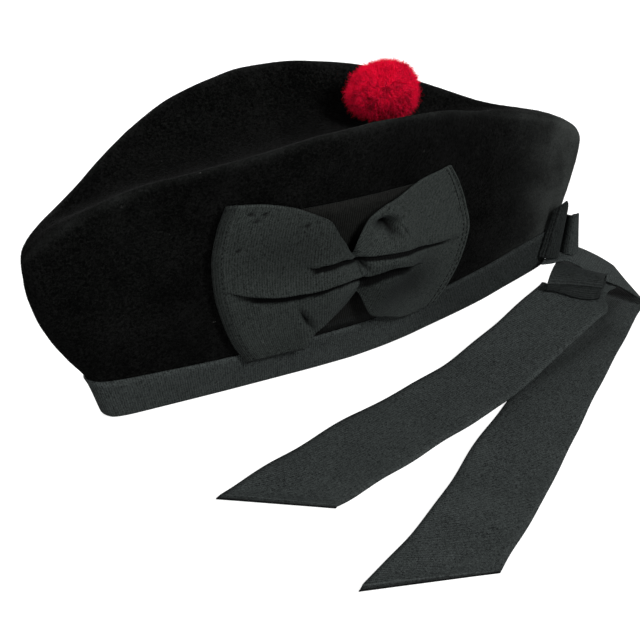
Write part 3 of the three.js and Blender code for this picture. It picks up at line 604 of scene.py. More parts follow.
def cloth_piece(name, grid, thickness, along_mm, across_mm, material, rise=RIB_RISE, painted_shade_and_seams=0.0):
    """A closed sheet about a grid of points; ribs stand out on both faces, and a mark carries its painted
    shade.
    """
    rows, columns = grid.shape[:2]
    along_mm, across_mm, painted_shade_and_seams = np.broadcast_arrays(along_mm, across_mm, painted_shade_and_seams)
    out = grid_normals(grid) * (thickness / 2 + rise * rib_height(along_mm))[..., None]
    sheet, count = grid_faces(rows, columns), rows * columns
    ring = border_of(rows, columns)
    following = np.roll(ring, -1)
    rim = np.stack([following, ring, ring + count, following + count], -1)
    faces = np.concatenate([sheet[:, ::-1], sheet + count, rim[:, ::-1]])
    threads = np.stack([along_mm, across_mm, np.zeros_like(along_mm)], -1)
    marks = {"cloth_mm": np.stack([threads] * 2), "painted_shade_and_seams": np.stack([same_mark(painted_shade_and_seams)] * 2)}
    return new_piece(name, np.stack([grid + out, grid - out]), faces, material, marks)


print("ribs every", RIB_PITCH, "mm")

# %% Tubes along paths, for thread and yarn
NEARLY_UPRIGHT = 0.9


def tubes(paths, radii, sides):
    """Points and faces of a closed tube along each path."""
    count, rings = paths.shape[:2]
    forward = unit(np.gradient(paths, axis=1))
    helper = np.where(np.abs(forward[..., 2:]) < NEARLY_UPRIGHT, [0.0, 0.0, 1.0], [1.0, 0.0, 0.0])
    first = unit(np.cross(forward, helper))
    second = np.cross(forward, first)
    angle = 2 * np.pi * np.arange(sides) / sides
    ring = first[..., None, :] * np.cos(angle)[:, None] + second[..., None, :] * np.sin(angle)[:, None]
    points = paths[..., None, :] + ring * radii[..., None, None]
    cells = grid_faces(rings, sides, wrap=True)
    ends = np.stack([np.arange(sides)[::-1], (rings - 1) * sides + np.arange(sides)])
    shift = np.arange(count) * rings * sides
    faces = (cells[None] + shift[:, None, None]).reshape(-1, 4).tolist()
    faces += (ends[None] + shift[:, None, None]).reshape(-1, sides).tolist()
    return points.reshape(-1, 3), faces


print("tube helper ready")

# %% [markdown]
# ## Crown
# The crown is one felt shell about two millimetres thick. It could be subdivided from a coarse cage, but
# the section table already gives a smooth skin. Low bumps are added, because pressed felt is never even,
# and a Solidify modifier gives the wall its thickness, since felt is the same all through. A mark on its
# points makes the felt paler: along the folds, where it is rubbed and also carries a painted highlight, a
# little on the walls, and most of all towards the back end.

# %% Crown skin
CROWN_STATIONS = 132
WALL_LEVELS, ROUND_LEVELS, VALLEY_LEVELS = 42, 14, 24
DENT_RISE, DENT_SIZE = 0.55, 26.0
NAP_RISE, NAP_SIZE = 0.12, 4.0
EVEN_BELOW, EVEN_RUN = 26.0, 20.0
ROUND_SHARE, ROUND_LEAST, ROUND_INWARD = 0.85, 0.4, 0.9
TINY = 0.001


def crown_lines(along):
    """Levels of the outer skin, from the lower edge over the rounded fold to the middle line."""
    fold = wall_at(along, 1.0)
    tall = fold[..., 2] - rim_z(along)
    cut = np.minimum(RIDGE_ROUND, ROUND_SHARE * np.maximum(fold[..., 0], TINY) + ROUND_LEAST)
    below = 1 - cut / tall
    within = np.clip(cut / np.maximum(fold[..., 0], cut + TINY), 0.0, 1.0) * ROUND_INWARD
    levels = [wall_at(along, below * i / WALL_LEVELS) for i in range(WALL_LEVELS + 1)]
    leave, land = wall_at(along, below), top_at(along, within)
    for t in np.arange(1, ROUND_LEVELS + 1) / ROUND_LEVELS:
        levels.append(mix(mix(leave, fold, t), mix(fold, land, t), t))
    for t in np.arange(1, VALLEY_LEVELS + 1) / VALLEY_LEVELS:
        levels.append(top_at(along, mix(within, 1.0, t)))
    return np.array(levels)


turn = np.pi * np.arange(2 * CROWN_STATIONS) / CROWN_STATIONS
station = (1 - np.cos(turn)) / 2
side = np.where(np.arange(2 * CROWN_STATIONS) <= CROWN_STATIONS, 1.0, -1.0)
crown_skin = crown_lines(station)
crown_skin[..., 0] *= side
print("crown skin:", crown_skin.shape)

# %% Where the felt is paler: rubbed with a painted highlight along the folds, and towards the back
FOLD_PALE_AT, FOLD_PALE_WIDE, FOLD_RUBBED_AND_LIT, FOLD_PALE_END_FADE = 6.0, 4.0, 0.21, 0.2
WALL_PALE = 0.014
BACK_PALE, BACK_PALE_FROM, BACK_PALE_FALL = 1.45, 0.78, 2.5

# Paler along the folds, rubbed and with a painted highlight, a little paler on the walls, and paler towards
# the back end.
level = np.arange(len(crown_skin))[:, None] - WALL_LEVELS
paleness = FOLD_RUBBED_AND_LIT * bell(level, FOLD_PALE_AT, FOLD_PALE_WIDE) * np.sin(turn / 2) ** FOLD_PALE_END_FADE
paleness = paleness + WALL_PALE * (1 - smooth(level / ROUND_LEVELS))
near_back = np.clip((station - BACK_PALE_FROM) / (1 - BACK_PALE_FROM), 0.0, 1.0)
paleness = paleness + BACK_PALE * near_back ** BACK_PALE_FALL
print("most rubbed:", paleness.max().round(2))

# %% Crown piece with soft bumps
import bmesh

TOUCHING = 0.01


def uneven(points, size, rise):
    return np.array([rise * noise.noise(Vector(p / size)) for p in points])


def merge_close(piece, distance):
    """Joins points that lie together, as on the middle line and at the two ends."""
    work = bmesh.new()
    work.from_mesh(piece.data)
    bmesh.ops.remove_doubles(work, verts=work.verts, dist=distance)
    bmesh.ops.recalc_face_normals(work, faces=work.faces)
    work.to_mesh(piece.data)
    work.free()


faces = grid_faces(len(crown_skin), 2 * CROWN_STATIONS, wrap=True)
crown = new_piece("crown_felt", crown_skin, faces, felt, {"paleness": same_mark(paleness)})
merge_close(crown, TOUCHING * MM)
places, normals = np.zeros((2, len(crown.data.vertices), 3))
crown.data.vertices.foreach_get("co", places.ravel())
crown.data.vertex_normals.foreach_get("vector", normals.ravel())
swell = uneven(places / MM, DENT_SIZE, DENT_RISE) + uneven(places / MM, NAP_SIZE, NAP_RISE)
swell *= smooth((places[:, 2] / MM - EVEN_BELOW) / EVEN_RUN)
places += normals * swell[:, None] * MM
crown.data.vertices.foreach_set("co", places.ravel())
wall = crown.modifiers.new("felt thickness", "SOLIDIFY")
wall.thickness = FELT * MM
wall.offset = -1.0
settle(crown, "felt", "crown")

# %% [markdown]
# ## Band
# A ribbon is folded round the felt's lower edge and sewn on. It could be a plain strip, but its rounded
# lower fold and its ribs show against the table, so one closed profile is swept round the edge.

# %% Band profile
BAND_HEIGHT, BAND_INSIDE = 22.0, 14.0
BAND_NEAR, BAND_FAR = 0.3, 1.2
BAND_SLACK = 0.5
BAND_SIDE_STEPS, BAND_HIDDEN_STEPS, FOLD_STEPS = 7, 4, 4


def band_profile():
    """(out, high) pairs once round the folded ribbon."""
    bend = BAND_FAR - BAND_NEAR
    inner_near = -FELT - BAND_SLACK
    inner_far = inner_near - bend
    line = [(BAND_FAR, h) for h in np.linspace(BAND_HEIGHT, bend, BAND_SIDE_STEPS)]
    for t in np.linspace(0, np.pi / 2, FOLD_STEPS)[1:]:
        line.append((BAND_FAR - bend * (1 - np.cos(t)), bend * (1 - np.sin(t))))
    for t in np.linspace(0, np.pi / 2, FOLD_STEPS):
        line.append((inner_far + bend * (1 - np.sin(t)), bend * (1 - np.cos(t))))
    line += [(inner_far, h) for h in np.linspace(bend, BAND_INSIDE, BAND_SIDE_STEPS)[1:]]
    line += [(inner_near, h) for h in np.linspace(BAND_INSIDE, bend, BAND_HIDDEN_STEPS)]
    line += [(BAND_NEAR, h) for h in np.linspace(bend, BAND_HEIGHT, BAND_HIDDEN_STEPS)]
    return np.array(line)


profile = band_profile()
print("band profile points:", len(profile))

# %% The lower edge, walked once round
BAND_STEP = 0.001
WALK_STEPS = 4000
RIB_COLUMNS = 4


def band_ring(turn, out, high):
    """Points at one place of the profile, all round the lower edge; turn is an angle round the cap."""
    along = (1 - np.cos(turn)) / 2
    up = (high - BAND_SEAT) / (part("ridge_top", along) - rim_z(along))
    ring = wall_at(along, up)
    ring[:, 2] = part("lift", along) + high
    before, after = np.maximum(0, along - BAND_STEP), np.minimum(1, along + BAND_STEP)
    lengthwise = wall_at(after, up) - wall_at(before, up)
    normal = np.stack([lengthwise[:, 1], -lengthwise[:, 0]], -1)
    ends = np.sin(arc_of(along)) < 1e-6
    normal[ends] = np.stack([np.zeros(ends.sum()), np.where(along[ends] < 0.5, -1.0, 1.0)], -1)
    ring[:, :2] += unit(normal) * np.asarray(out)[..., None]
    ring[:, 0] *= np.where(turn <= np.pi, 1.0, -1.0)
    return ring


walk_turn = np.linspace(0, 2 * np.pi, WALK_STEPS + 1)
walk = band_ring(walk_turn[:-1], BAND_FAR, BAND_HEIGHT / 2)
walked = run_along(np.concatenate([walk, walk[:1]]))
girth = walked[-1]
rib_count = round(girth / RIB_PITCH)
band_mm = np.arange(RIB_COLUMNS * rib_count) * RIB_PITCH / RIB_COLUMNS
band_turn = np.interp(band_mm * girth / (rib_count * RIB_PITCH), walked, walk_turn)
print("band girth:", round(girth), "mm, ribs:", rib_count)

# %% Band piece
BAND_SHADE, BAND_SHADE_FROM, BAND_SHADE_RUN = 0.45, 15.0, 50.0

ribbed = np.where(profile[:, :1] > BAND_FAR - 1e-6, RIB_RISE * rib_height(band_mm), 0.0)
rows = np.array([band_ring(band_turn, out + rib, high) for (out, high), rib in zip(profile, ribbed)])
faces = grid_faces(len(profile) + 1, len(band_mm), wrap=True) % (len(profile) * len(band_mm))
threads = np.stack(np.broadcast_arrays(band_mm[None], run_along(profile)[:, None], 0.0), -1)
# Painted shade, darker towards the band's back.
painted_shade_and_seams = BAND_SHADE * smooth((rows[..., 1] - BAND_SHADE_FROM) / BAND_SHADE_RUN)
band = new_piece("band_ribbon", rows, faces, grosgrain, {"cloth_mm": threads, "painted_shade_and_seams": same_mark(painted_shade_and_seams)})
merge_close(band, 0.0)
settle(band, "grosgrain", "band")

# %% [markdown]
# ## Bow
# A wide ribbon is sewn to the cap's left side at both ends and gathered in the middle, so it falls into
# folds that lie over each other. Cloth simulation could gather it, but the folds would land anywhere.
# Here the ribbon's edges and its two folds a wing are lines, and each fold's lip hangs over the next panel.
# Points deep in a fold or dent are marked, and the material paints shade on them, as soft light alone
# doesn't.

# %% Lines of the bow, in millimetres about its gathered middle
BOW_MIDDLE_Y, BOW_MIDDLE_Z = -8.0, 66.0
BOW_OVER_BAND = 4.5
BOW_OFF_FELT = 2.25
BOW_THICK = 0.9
BOW_HUMP, BOW_HUMP_AT = 6.6, 0.24
BOW_PUFF, BOW_PINCH_RISE = 1.4, 1.6
BOW_FLAT_FROM, BOW_EDGE_DROP = 0.55, 0.55
BOW_LEAN, LEAN_RUN = 6.0, 0.25

BOW_COLUMNS = ("share", "bottom", "low_fold", "high_fold", "top")
FRONT_WING = [
    (0.0, -15.0, -3.0, 8.0, 9.0),
    (0.1, -20.5, -1.0, 10.5, 16.5),
    (0.21, -26.0, 0.0, 12.5, 23.0),
    (0.31, -32.0, -1.5, 12.5, 34.0),
    (0.38, -37.0, -3.0, 11.0, 37.0),
    (0.45, -46.0, -4.0, 10.0, 39.5),
    (0.57, -46.5, -5.5, 9.5, 43.5),
    (0.8, -48.0, -3.0, 11.0, 47.5),
    (1.0, -48.5, 2.5, 13.0, 48.5),
]
BACK_WING = [
    (0.0, -15.0, -3.0, 8.0, 9.0),
    (0.05, -18.5, -4.0, 8.5, 22.0),
    (0.1, -24.0, -3.0, 8.5, 29.5),
    (0.2, -33.0, -1.0, 8.0, 34.5),
    (0.41, -39.5, -6.5, 4.0, 37.0),
    (0.63, -45.5, -14.0, -2.0, 38.5),
    (1.0, -47.5, -20.0, -9.5, 37.5),
]
END_LINE_COLUMNS = ("across", "front", "back")
END_LINES = [
    (-1.0, 52.5, 52.5),
    (-0.7, 61.0, 61.5),
    (-0.35, 67.5, 68.0),
    (0.0, 72.0, 70.5),
    (0.4, 74.0, 65.5),
    (0.75, 72.2, 58.5),
    (1.0, 69.0, 51.5),
]
FOLD_COLUMNS = ("run", "flat_from", "lip", "groove", "overhang", "tuck", "shade", "end_shade")
FOLDS = {
    ("front", "low"): (0.95, 0.75, 1.9, 2.2, 0.3, 0.3, 1.2, 2.8),
    ("front", "high"): (0.42, 0.84, 1.5, 1.7, 0.3, 0.3, 1.0, 2.2),
    ("back", "low"): (0.58, 0.65, 1.6, 4.4, 0.3, 0.3, 6.0, 1.6),
    ("back", "high"): (0.95, 0.7, 1.0, 1.0, 0.3, 0.3, 1.4, 1.0),
}
ROLL_RISE, ROLL_RUN, ROLL_FLAT_FROM = 1.2, 0.66, 0.7
wing_lines = {"front": curves_of(BOW_COLUMNS, FRONT_WING), "back": curves_of(BOW_COLUMNS, BACK_WING)}
end_line = curves_of(END_LINE_COLUMNS, END_LINES)
print("wings:", list(wing_lines))

# %% Height of the bow's cloth over its backing
LIP_FADE, GROOVE_FADE = 8.0, 3.5
WRINKLE_RISE, WRINKLE_REACH, WRINKLES = 0.5, 0.14, 9.0


def bow_swell(share, across):
    """The puffed form of a wing before its folds."""
    hump = BOW_HUMP * bell(share, BOW_HUMP_AT, BOW_HUMP_AT)
    flat = 1 - smooth((share - BOW_FLAT_FROM) / (1 - BOW_FLAT_FROM))
    belly = 1 - BOW_EDGE_DROP * across * across
    wrinkle = WRINKLE_RISE * np.sin(WRINKLES * across) * np.exp(-share / WRINKLE_REACH)
    return flat * ((BOW_PUFF + hump) * belly + BOW_PINCH_RISE * (1 - share)) + wrinkle


def fold_fade(share, run, flat_from):
    """1 along a fold and 0 past its run; it flattens from the given part of the run."""
    return 1 - smooth((share / run - flat_from) / (1 - flat_from))


def dimple(y, up, dent):
    """A soft oval dent, 1 at its middle."""
    y, up = y - dent["y"], up - dent["up"]
    u = y * np.cos(dent["angle"]) + up * np.sin(dent["angle"])
    v = up * np.cos(dent["angle"]) - y * np.sin(dent["angle"])
    return bell(u, 0.0, dent["long"]) * bell(v, 0.0, dent["wide"])


print("bow height at its fullest:", round(float(bow_swell(BOW_HUMP_AT, 0.0)), 1), "mm")

# %% One wing, panel by panel and fold by fold
PANEL_ROWS = (30, 22, 36)
FOLD_ROWS = 7
FOLD_GAP = 1.2
LIP_HIDES, GROOVE_HIDES = 1.25, 1 / 3


def wing_rows(which, share):
    """Place up the wall, height over the backing and painted shade below the folds, for the rows of one
    wing.
    """
    lines = {name: curve(share) for name, curve in wing_lines[which].items()}
    edges = [lines[name] for name in BOW_COLUMNS[1:]]
    folds = [dict(zip(FOLD_COLUMNS, FOLDS[which, name])) for name in ("low", "high")]
    ups, lifts, painted_shades = [], [], []
    for panel, rows in enumerate(PANEL_ROWS):
        low = edges[panel] + (FOLD_GAP / 2 if panel > 0 else 0.0)
        high = edges[panel + 1] - (FOLD_GAP / 2 if panel < 2 else 0.0)
        t = np.linspace(0, 1, rows)[:, None]
        up = mix(low, high, t)
        lift = bow_swell(share, 2 * (up - edges[0]) / (edges[3] - edges[0]) - 1)
        moved, painted_shade_and_seams = np.zeros_like(up), np.zeros_like(up)
        if panel > 0:
            fold = folds[panel - 1]
            fade = fold_fade(share, fold["run"], fold["flat_from"])
            near = fade * np.exp(-(up - low) / LIP_FADE) * (1 - t * t)
            lift, moved = lift + fold["lip"] * near, moved - fold["overhang"] * near
        if panel < 2:
            fold = folds[panel]
            fade = fold_fade(share, fold["run"], fold["flat_from"])
            near = fade * np.exp(-(high - up) / GROOVE_FADE)
            lift, moved = lift - fold["groove"] * near, moved + fold["tuck"] * near
            # Painted shade on the panel below each fold's lip.
            under_lip = LIP_HIDES * fade * (fold["lip"] + GROOVE_HIDES * fold["groove"])
            shade = mix(fold["shade"], fold["end_shade"], smooth(share / fold["run"]))
            painted_shade_and_seams = fade * (1 - smooth((high - up - under_lip) / shade * 2 - 1))
        if which == "back" and panel == 1:
            lift = lift + ROLL_RISE * fold_fade(share, ROLL_RUN, ROLL_FLAT_FROM) * np.sin(np.pi * t)
        ups.append(up + moved)
        lifts.append(np.maximum(lift, 0.0))
        painted_shades.append(painted_shade_and_seams)
    return ups, lifts, painted_shades


def join_panels(*panels_of):
    """Adds the turned cloth between the panels, for each of the given values."""
    t = (np.arange(1, FOLD_ROWS + 1) / (FOLD_ROWS + 1))[:, None]
    joined = []
    for low, middle, high in panels_of:
        turns = [mix(below[-1], above[0], smooth(t)) for below, above in ((low, middle), (middle, high))]
        joined.append(np.concatenate([low, turns[0], middle, turns[1], high]))
    return joined


print("rows across the bow:", sum(PANEL_ROWS) + 2 * FOLD_ROWS)

# %% Dents, tacks, hems and painted shade of the wings
WING_COLUMNS = 176
WING_LENGTH, WING_HALF_WIDE = 72.0, 48.0
HEM_ROWS = {"front": (4.5,), "back": (1.6, 4.2)}
HEM_DEPTH, HEM_WIDE = 0.28, 0.8
HEM_SHADE, HEM_SHADE_RUN = 0.62, 8.0
RIB_TILT, TILT_RUN = 1.3, 0.16
DENT_COLUMNS = ("wing", "y", "up", "long", "wide", "angle", "depth", "shade")
# Each row's shade is painted shade in its hollow; the rows at (28, -20) and (-36, 22) are broad patches of
# painted shade with little or no dent.
DENTS = [
    ("back", 8.6, 23.2, 5.8, 3.5, -0.2, 4.8, 1.0),
    ("back", 11.8, 20.2, 6.6, 3.1, -1.0, 3.6, 1.0),
    ("back", 20.5, 16.2, 4.2, 0.8, -0.95, 0.9, 0.5),
    ("front", -26.0, -24.0, 8.5, 1.9, -1.05, 2.6, 0.8),
    ("back", 28.0, -20.0, 24.0, 13.0, -0.3, 0.8, 0.72),
    ("front", -36.0, 22.0, 40.0, 22.0, 0.0, 0.0, 0.4),
]
DENT_SHADE_FALL = 1.2
TACKS = [(-58.0, 43.0), (-51.5, 42.0), (-55.0, 38.5), (-32.0, 33.0), (-62.5, 23.5)]
DENTS += [("front", y, up, 2.0, 1.2, 0.3, 0.9, 1.0) for y, up in TACKS]
DENTS += [(wing, -1.6, 4.4, 6.0, 1.7, -0.85, 2.2, 1.0) for wing in ("front", "back")]


def bow_wing(which):
    """One wing's places, thread places, painted shade and distances from its sewn end."""
    share = np.linspace(0, 1, WING_COLUMNS)
    up, lift, painted_shade_and_seams = join_panels(*wing_rows(which, share))
    bottom, fold, top = (wing_lines[which][name](share) for name in ("bottom", "high_fold", "top"))
    across = np.clip(2 * (up - bottom) / (top - bottom) - 1, -1, 1)
    reach = end_line[which](across)
    sign = -1.0 if which == "front" else 1.0
    y = sign * share * reach - BOW_LEAN * ((across + 1) / 2) ** 2 * (1 - smooth(share / LEAN_RUN))
    # Each dent, tack and crease carries painted shade in its hollow.
    for row in DENTS:
        dent = dict(zip(DENT_COLUMNS, row))
        if dent["wing"] == which:
            hollow = dimple(y, up, dent)
            lift = lift - dent["depth"] * hollow
            painted_shade_and_seams = np.maximum(painted_shade_and_seams, dent["shade"] * hollow ** DENT_SHADE_FALL)
    lift = np.maximum(lift, 0.0)
    from_end = (1 - share) * reach
    # Painted shade along the front wing's sewn end, where it curves away.
    if which == "front":
        painted_shade_and_seams = np.maximum(painted_shade_and_seams, HEM_SHADE * (1 - smooth(from_end / HEM_SHADE_RUN)))
    for hem in HEM_ROWS[which]:
        lift = lift - HEM_DEPTH * bell(from_end, hem, HEM_WIDE)
    along = np.broadcast_to(sign * share * WING_LENGTH, y.shape)
    if which == "back":
        along = along - RIB_TILT * np.maximum(up - fold, 0.0) * np.exp(-share / TILT_RUN)
    return y, up, lift, along, across * WING_HALF_WIDE, painted_shade_and_seams, from_end


print("dents and tacks:", len(DENTS))

# %% Bow piece
ROW_STEP = 0.02


def band_top(y):
    """Height of the band's upper edge at lengthwise y."""
    return part("lift", np.clip((y - RIM_FRONT) / (RIM_BACK - RIM_FRONT), 0, 1)) + BAND_HEIGHT


wings = [bow_wing("front"), bow_wing("back")]
joined = [np.concatenate([f[:, :0:-1], b], axis=1) for f, b in zip(*wings)]
bow_y, bow_up, bow_lift, bow_along, bow_across, bow_painted_shade, bow_from_end = joined
middle = WING_COLUMNS - 1
for values in (bow_y, bow_up, bow_lift):
    values[:, middle] = (values[:, middle - 1] + values[:, middle + 1]) / 2
place_y = BOW_MIDDLE_Y + bow_y
lowest = band_top(place_y) - BOW_OVER_BAND + ROW_STEP * np.arange(len(bow_up))[:, None]
bow_grid = on_wall(place_y, np.maximum(BOW_MIDDLE_Z + bow_up, lowest), BOW_OFF_FELT + bow_lift)
bow_rise = np.full(2 * WING_COLUMNS - 1, RIB_RISE)
bow_rise[middle:] *= smooth(np.linspace(0, 1, WING_COLUMNS) / (2 * TILT_RUN))
bow = cloth_piece(
    "cockade_bow_ribbon", bow_grid, BOW_THICK, bow_along, bow_across, bow_shaded_grosgrain, bow_rise, bow_painted_shade
)
settle(bow, "grosgrain", "cockade_bow")

# %% [markdown]
# ## Sewing on the bow
# The wings' ends are hemmed and sewn down with black thread, twice on the back wing, and a few tacks hold
# the front wing. Stitches could be painted, but short arched threads catch light as real ones do.

# %% Stitches along lines of points
STITCH_LONG, STITCH_GAP = 1.9, 1.1
STITCH_RADIUS, STITCH_RISE = 0.24, 0.22
STITCH_SIDES, STITCH_RINGS = 6, 5


def stitch_row(line, outwards, sink):
    """Paths of short threads along a line on cloth, each arched a little off it."""
    run = run_along(line)
    starts = np.arange(STITCH_GAP, run[-1] - STITCH_LONG, STITCH_LONG + STITCH_GAP)
    t = np.linspace(0, 1, STITCH_RINGS)
    stops = starts[:, None] + STITCH_LONG * t
    places, up = (np.stack([np.interp(stops, run, c) for c in v.T], -1) for v in (line, outwards))
    return places + up * (STITCH_RISE * bump(t) - sink)[:, None]


def stitch_piece(name, paths):
    radii = np.full(paths.shape[:2], STITCH_RADIUS)
    return settle(new_piece(name, *tubes(paths, radii, STITCH_SIDES), thread_finish), "grosgrain")


print("stitch length:", STITCH_LONG, "mm")

# %% Stitches on the hems and tacks on the front wing
HEM_SINK = {"front": 0.3, "back": 0.08}

bow_out = grid_normals(bow_grid)
bow_face = bow_grid + bow_out * (BOW_THICK / 2 + RIB_RISE / 2)
columns = np.arange(bow_face.shape[1])
paths = []
for which, half in (("front", slice(0, middle + 1)), ("back", slice(None, middle - 1, -1))):
    for hem in HEM_ROWS[which]:
        at = np.array([np.interp(hem, row[half], columns[half]) for row in bow_from_end])
        left = at.astype(int)
        index, share = np.arange(len(at)), (at - left)[:, None]
        line = mix(bow_face[index, left], bow_face[index, left + 1], share)
        paths.append(stitch_row(line, bow_out[index, left], HEM_SINK[which]))
for y, up in TACKS:
    row, column = np.unravel_index(np.argmin((bow_y - y) ** 2 + (bow_up - up) ** 2), bow_y.shape)
    first = column - STITCH_RINGS // 2
    paths.append(bow_face[None, row, first:first + STITCH_RINGS])
stitch_piece("cockade_stitches", np.concatenate(paths))

# %% [markdown]
# ## Backing of the bow
# Behind the bow lies a plain ribbon panel that shows between the wings. It is flat cloth on the wall, so a
# grid laid on the wall is enough.

# %% Backing piece
BACKING_FRONT, BACKING_BACK = 55.0, 51.6
BACKING_TOP_FRONT, BACKING_TOP_BACK, BACKING_TOP_RISE = 39.7, 32.7, 1.3
BACKING_OVER_BAND = 1.4
BACKING_OFF_FELT = 1.0
BACKING_THICK, BACKING_ROWS = 0.6, 12

backing_long = BACKING_FRONT + BACKING_BACK
share = np.linspace(0, 1, round(RIB_COLUMNS * backing_long / RIB_PITCH))[None, :]
y = BOW_MIDDLE_Y + mix(-BACKING_FRONT, BACKING_BACK, share)
edge = BOW_MIDDLE_Z + mix(BACKING_TOP_FRONT, BACKING_TOP_BACK, share) + BACKING_TOP_RISE * bump(share)
low = band_top(y) + BACKING_OVER_BAND
z = mix(low, edge, np.linspace(0, 1, BACKING_ROWS)[:, None])
backing_grid = on_wall(np.broadcast_to(y, z.shape), z, np.full(z.shape, BACKING_OFF_FELT))
backing = cloth_piece("cockade_backing_ribbon", backing_grid, BACKING_THICK, y, z, backing_cloth)
settle(backing, "grosgrain", "cockade_backing")

# %% [markdown]
# ## Nap of the felt
# Milled felt has a short nap, seen where light catches it along the folds and against the background.
# A hair system could grow it, but thin strips spread over the crown stay in the mesh and cost little.

# %% Hairs as thin strips
HAIR_TAPER = np.array([1.0, 0.8, 0.25])
HAIR_SHORTEST = 0.4


def hair_paths(start, aim, length, sag, draw):
    """A few points along each hair, bent a little at random."""
    t = np.linspace(0, 1, len(HAIR_TAPER))[None, :, None]
    bent = draw.normal(0, sag, start.shape)[:, None] * t * t
    return start[:, None] + unit(aim)[:, None] * t * length[:, None, None] + bent


def hair_strips(paths, width, draw):
    """Points and faces of a flat strip, narrow at its tip, along each path."""
    count, rings = paths.shape[:2]
    forward = paths[:, -1] - paths[:, 0]
    sideways = unit(np.cross(forward, draw.normal(0, 1, forward.shape)))
    half = sideways[:, None] * (width / 2 * HAIR_TAPER)[:, None]
    points = np.stack([paths - half, paths + half], axis=2)
    cells = grid_faces(rings, 2)
    faces = (cells[None] + (np.arange(count) * rings * 2)[:, None, None]).reshape(-1, 4)
    return points.reshape(-1, 3), faces


print("hair helpers ready")

# %% Nap piece
NAP_HAIRS = 32000
NAP_LENGTH, NAP_WIDTH = 1.5, 0.07
NAP_LEAN, NAP_LEAST_OUT, NAP_CURL = 0.9, 0.15, 0.25
NAP_ROOT = 0.1
NAP_FLOOR = 25.0
CELL = 2.5

draw = np.random.default_rng(7)
corners = np.array([list(p.vertices) for p in crown.data.polygons if len(p.vertices) == 4])
first, second = (places[corners[:, i + 2]] - places[corners[:, i]] for i in (0, 1))
area = np.linalg.norm(np.cross(first, second), axis=-1)
picked = draw.choice(len(corners), NAP_HAIRS, p=area / area.sum())
weights = draw.dirichlet([1.0] * 4, NAP_HAIRS)[..., None]
start = (places[corners[picked]] * weights).sum(axis=1) / MM + CAP_MIDDLE
outwards = normals[corners[picked, 0]]
covered = set()
for grid in (bow_grid, backing_grid):
    covered |= set(map(tuple, np.round(grid.reshape(-1, 3)[:, 1:] / CELL).astype(int)))
cells = np.round(start[:, 1:] / CELL).astype(int)
hidden = np.array([(a, b) in covered for a, b in map(tuple, cells)]) & (start[:, 0] > 0)
free = ~hidden & (start[:, 2] > NAP_FLOOR)
start, outwards = start[free] - outwards[free] * NAP_ROOT, outwards[free]
aim = outwards + draw.normal(0, NAP_LEAN, start.shape)
aim += outwards * np.maximum(0.0, NAP_LEAST_OUT - (aim * outwards).sum(-1))[:, None]
length = NAP_LENGTH * draw.uniform(HAIR_SHORTEST, 1.0, len(start))
hairs = hair_paths(start, aim, length, NAP_CURL, draw)
nap_piece = new_piece("crown_nap", *hair_strips(hairs, NAP_WIDTH, draw), felt)
settle(nap_piece, "felt")

# %% [markdown]
# ## Tails
# Two ribbon ends leave the knot and lie on the table; one folds back under itself. They could be dropped
# there by simulation, but the way they lie is part of the look, so rows give both edges of each tail.

# %% Edges of the tails in millimetres, from the knot to the slanted end
# Each row is x, y and z of the inner edge and then of the outer one.
TAIL_LEFT = [
    (-5.0, 146.5, 11.2, 34.2, 150.3, 9.5),
    (-2.0, 138.0, 12.2, 38.5, 141.8, 11.5),
    (13.0, 127.5, 12.6, 45.0, 134.4, 12.6),
    (25.0, 118.0, 12.8, 53.0, 130.0, 13.0),
    (16.8, 115.4, 13.2, 57.8, 125.5, 13.4),
    (18.4, 110.4, 12.6, 59.4, 120.5, 12.9),
    (25.4, 90.0, 8.7, 66.4, 101.0, 9.8),
    (31.6, 72.0, 4.8, 72.4, 84.0, 5.8),
    (37.8, 54.0, 1.9, 79.4, 64.5, 3.2),
    (45.6, 32.4, 0.8, 87.8, 43.6, 2.0),
    (53.0, 7.4, 0.5, 93.4, 22.5, 1.2),
    (58.8, -18.0, 0.5, 99.0, 2.5, 0.6),
    (65.4, -42.5, 0.5, 105.0, -18.5, 0.5),
    (72.2, -64.0, 0.5, 110.5, -37.0, 0.5),
    (78.6, -84.5, 0.5, 115.0, -53.0, 0.5),
    (87.7, -110.7, 0.5, 118.8, -67.5, 0.5),
]
TAIL_RIGHT = [
    (8.2, 123.0, 23.4, 14.6, 114.6, 23.6),
    (3.0, 128.8, 23.0, 16.0, 120.0, 23.5),
    (-1.0, 138.5, 22.4, 16.8, 130.2, 22.6),
    (2.2, 148.4, 19.0, 25.5, 138.4, 17.8),
    (7.2, 157.5, 14.0, 30.5, 144.4, 14.0),
    (12.0, 162.6, 10.4, 36.0, 153.4, 9.4),
    (14.2, 165.0, 8.0, 43.6, 158.4, 6.0),
    (15.0, 166.2, 5.0, 46.4, 160.6, 3.6),
    (15.6, 165.0, 2.2, 47.4, 159.6, 1.4),
    (17.6, 161.0, 0.9, 48.6, 156.0, 0.6),
    (24.0, 146.0, 0.5, 56.0, 146.0, 0.5),
    (38.0, 121.5, 0.5, 69.5, 128.5, 0.5),
    (54.0, 94.0, 0.5, 87.0, 105.5, 0.5),
    (72.0, 67.0, 0.5, 106.0, 81.0, 0.5),
    (90.6, 38.5, 0.5, 125.0, 57.3, 0.5),
    (111.0, 8.0, 0.5, 143.0, 34.5, 0.5),
    (131.0, -18.2, 0.5, 160.0, 12.6, 0.5),
    (148.6, -45.3, 0.5, 175.0, -8.6, 0.5),
    (160.0, -65.5, 0.5, 183.6, -21.0, 0.5),
    (171.4, -86.3, 0.5, 189.2, -28.7, 0.5),
]
print("tail rows:", len(TAIL_LEFT), len(TAIL_RIGHT))

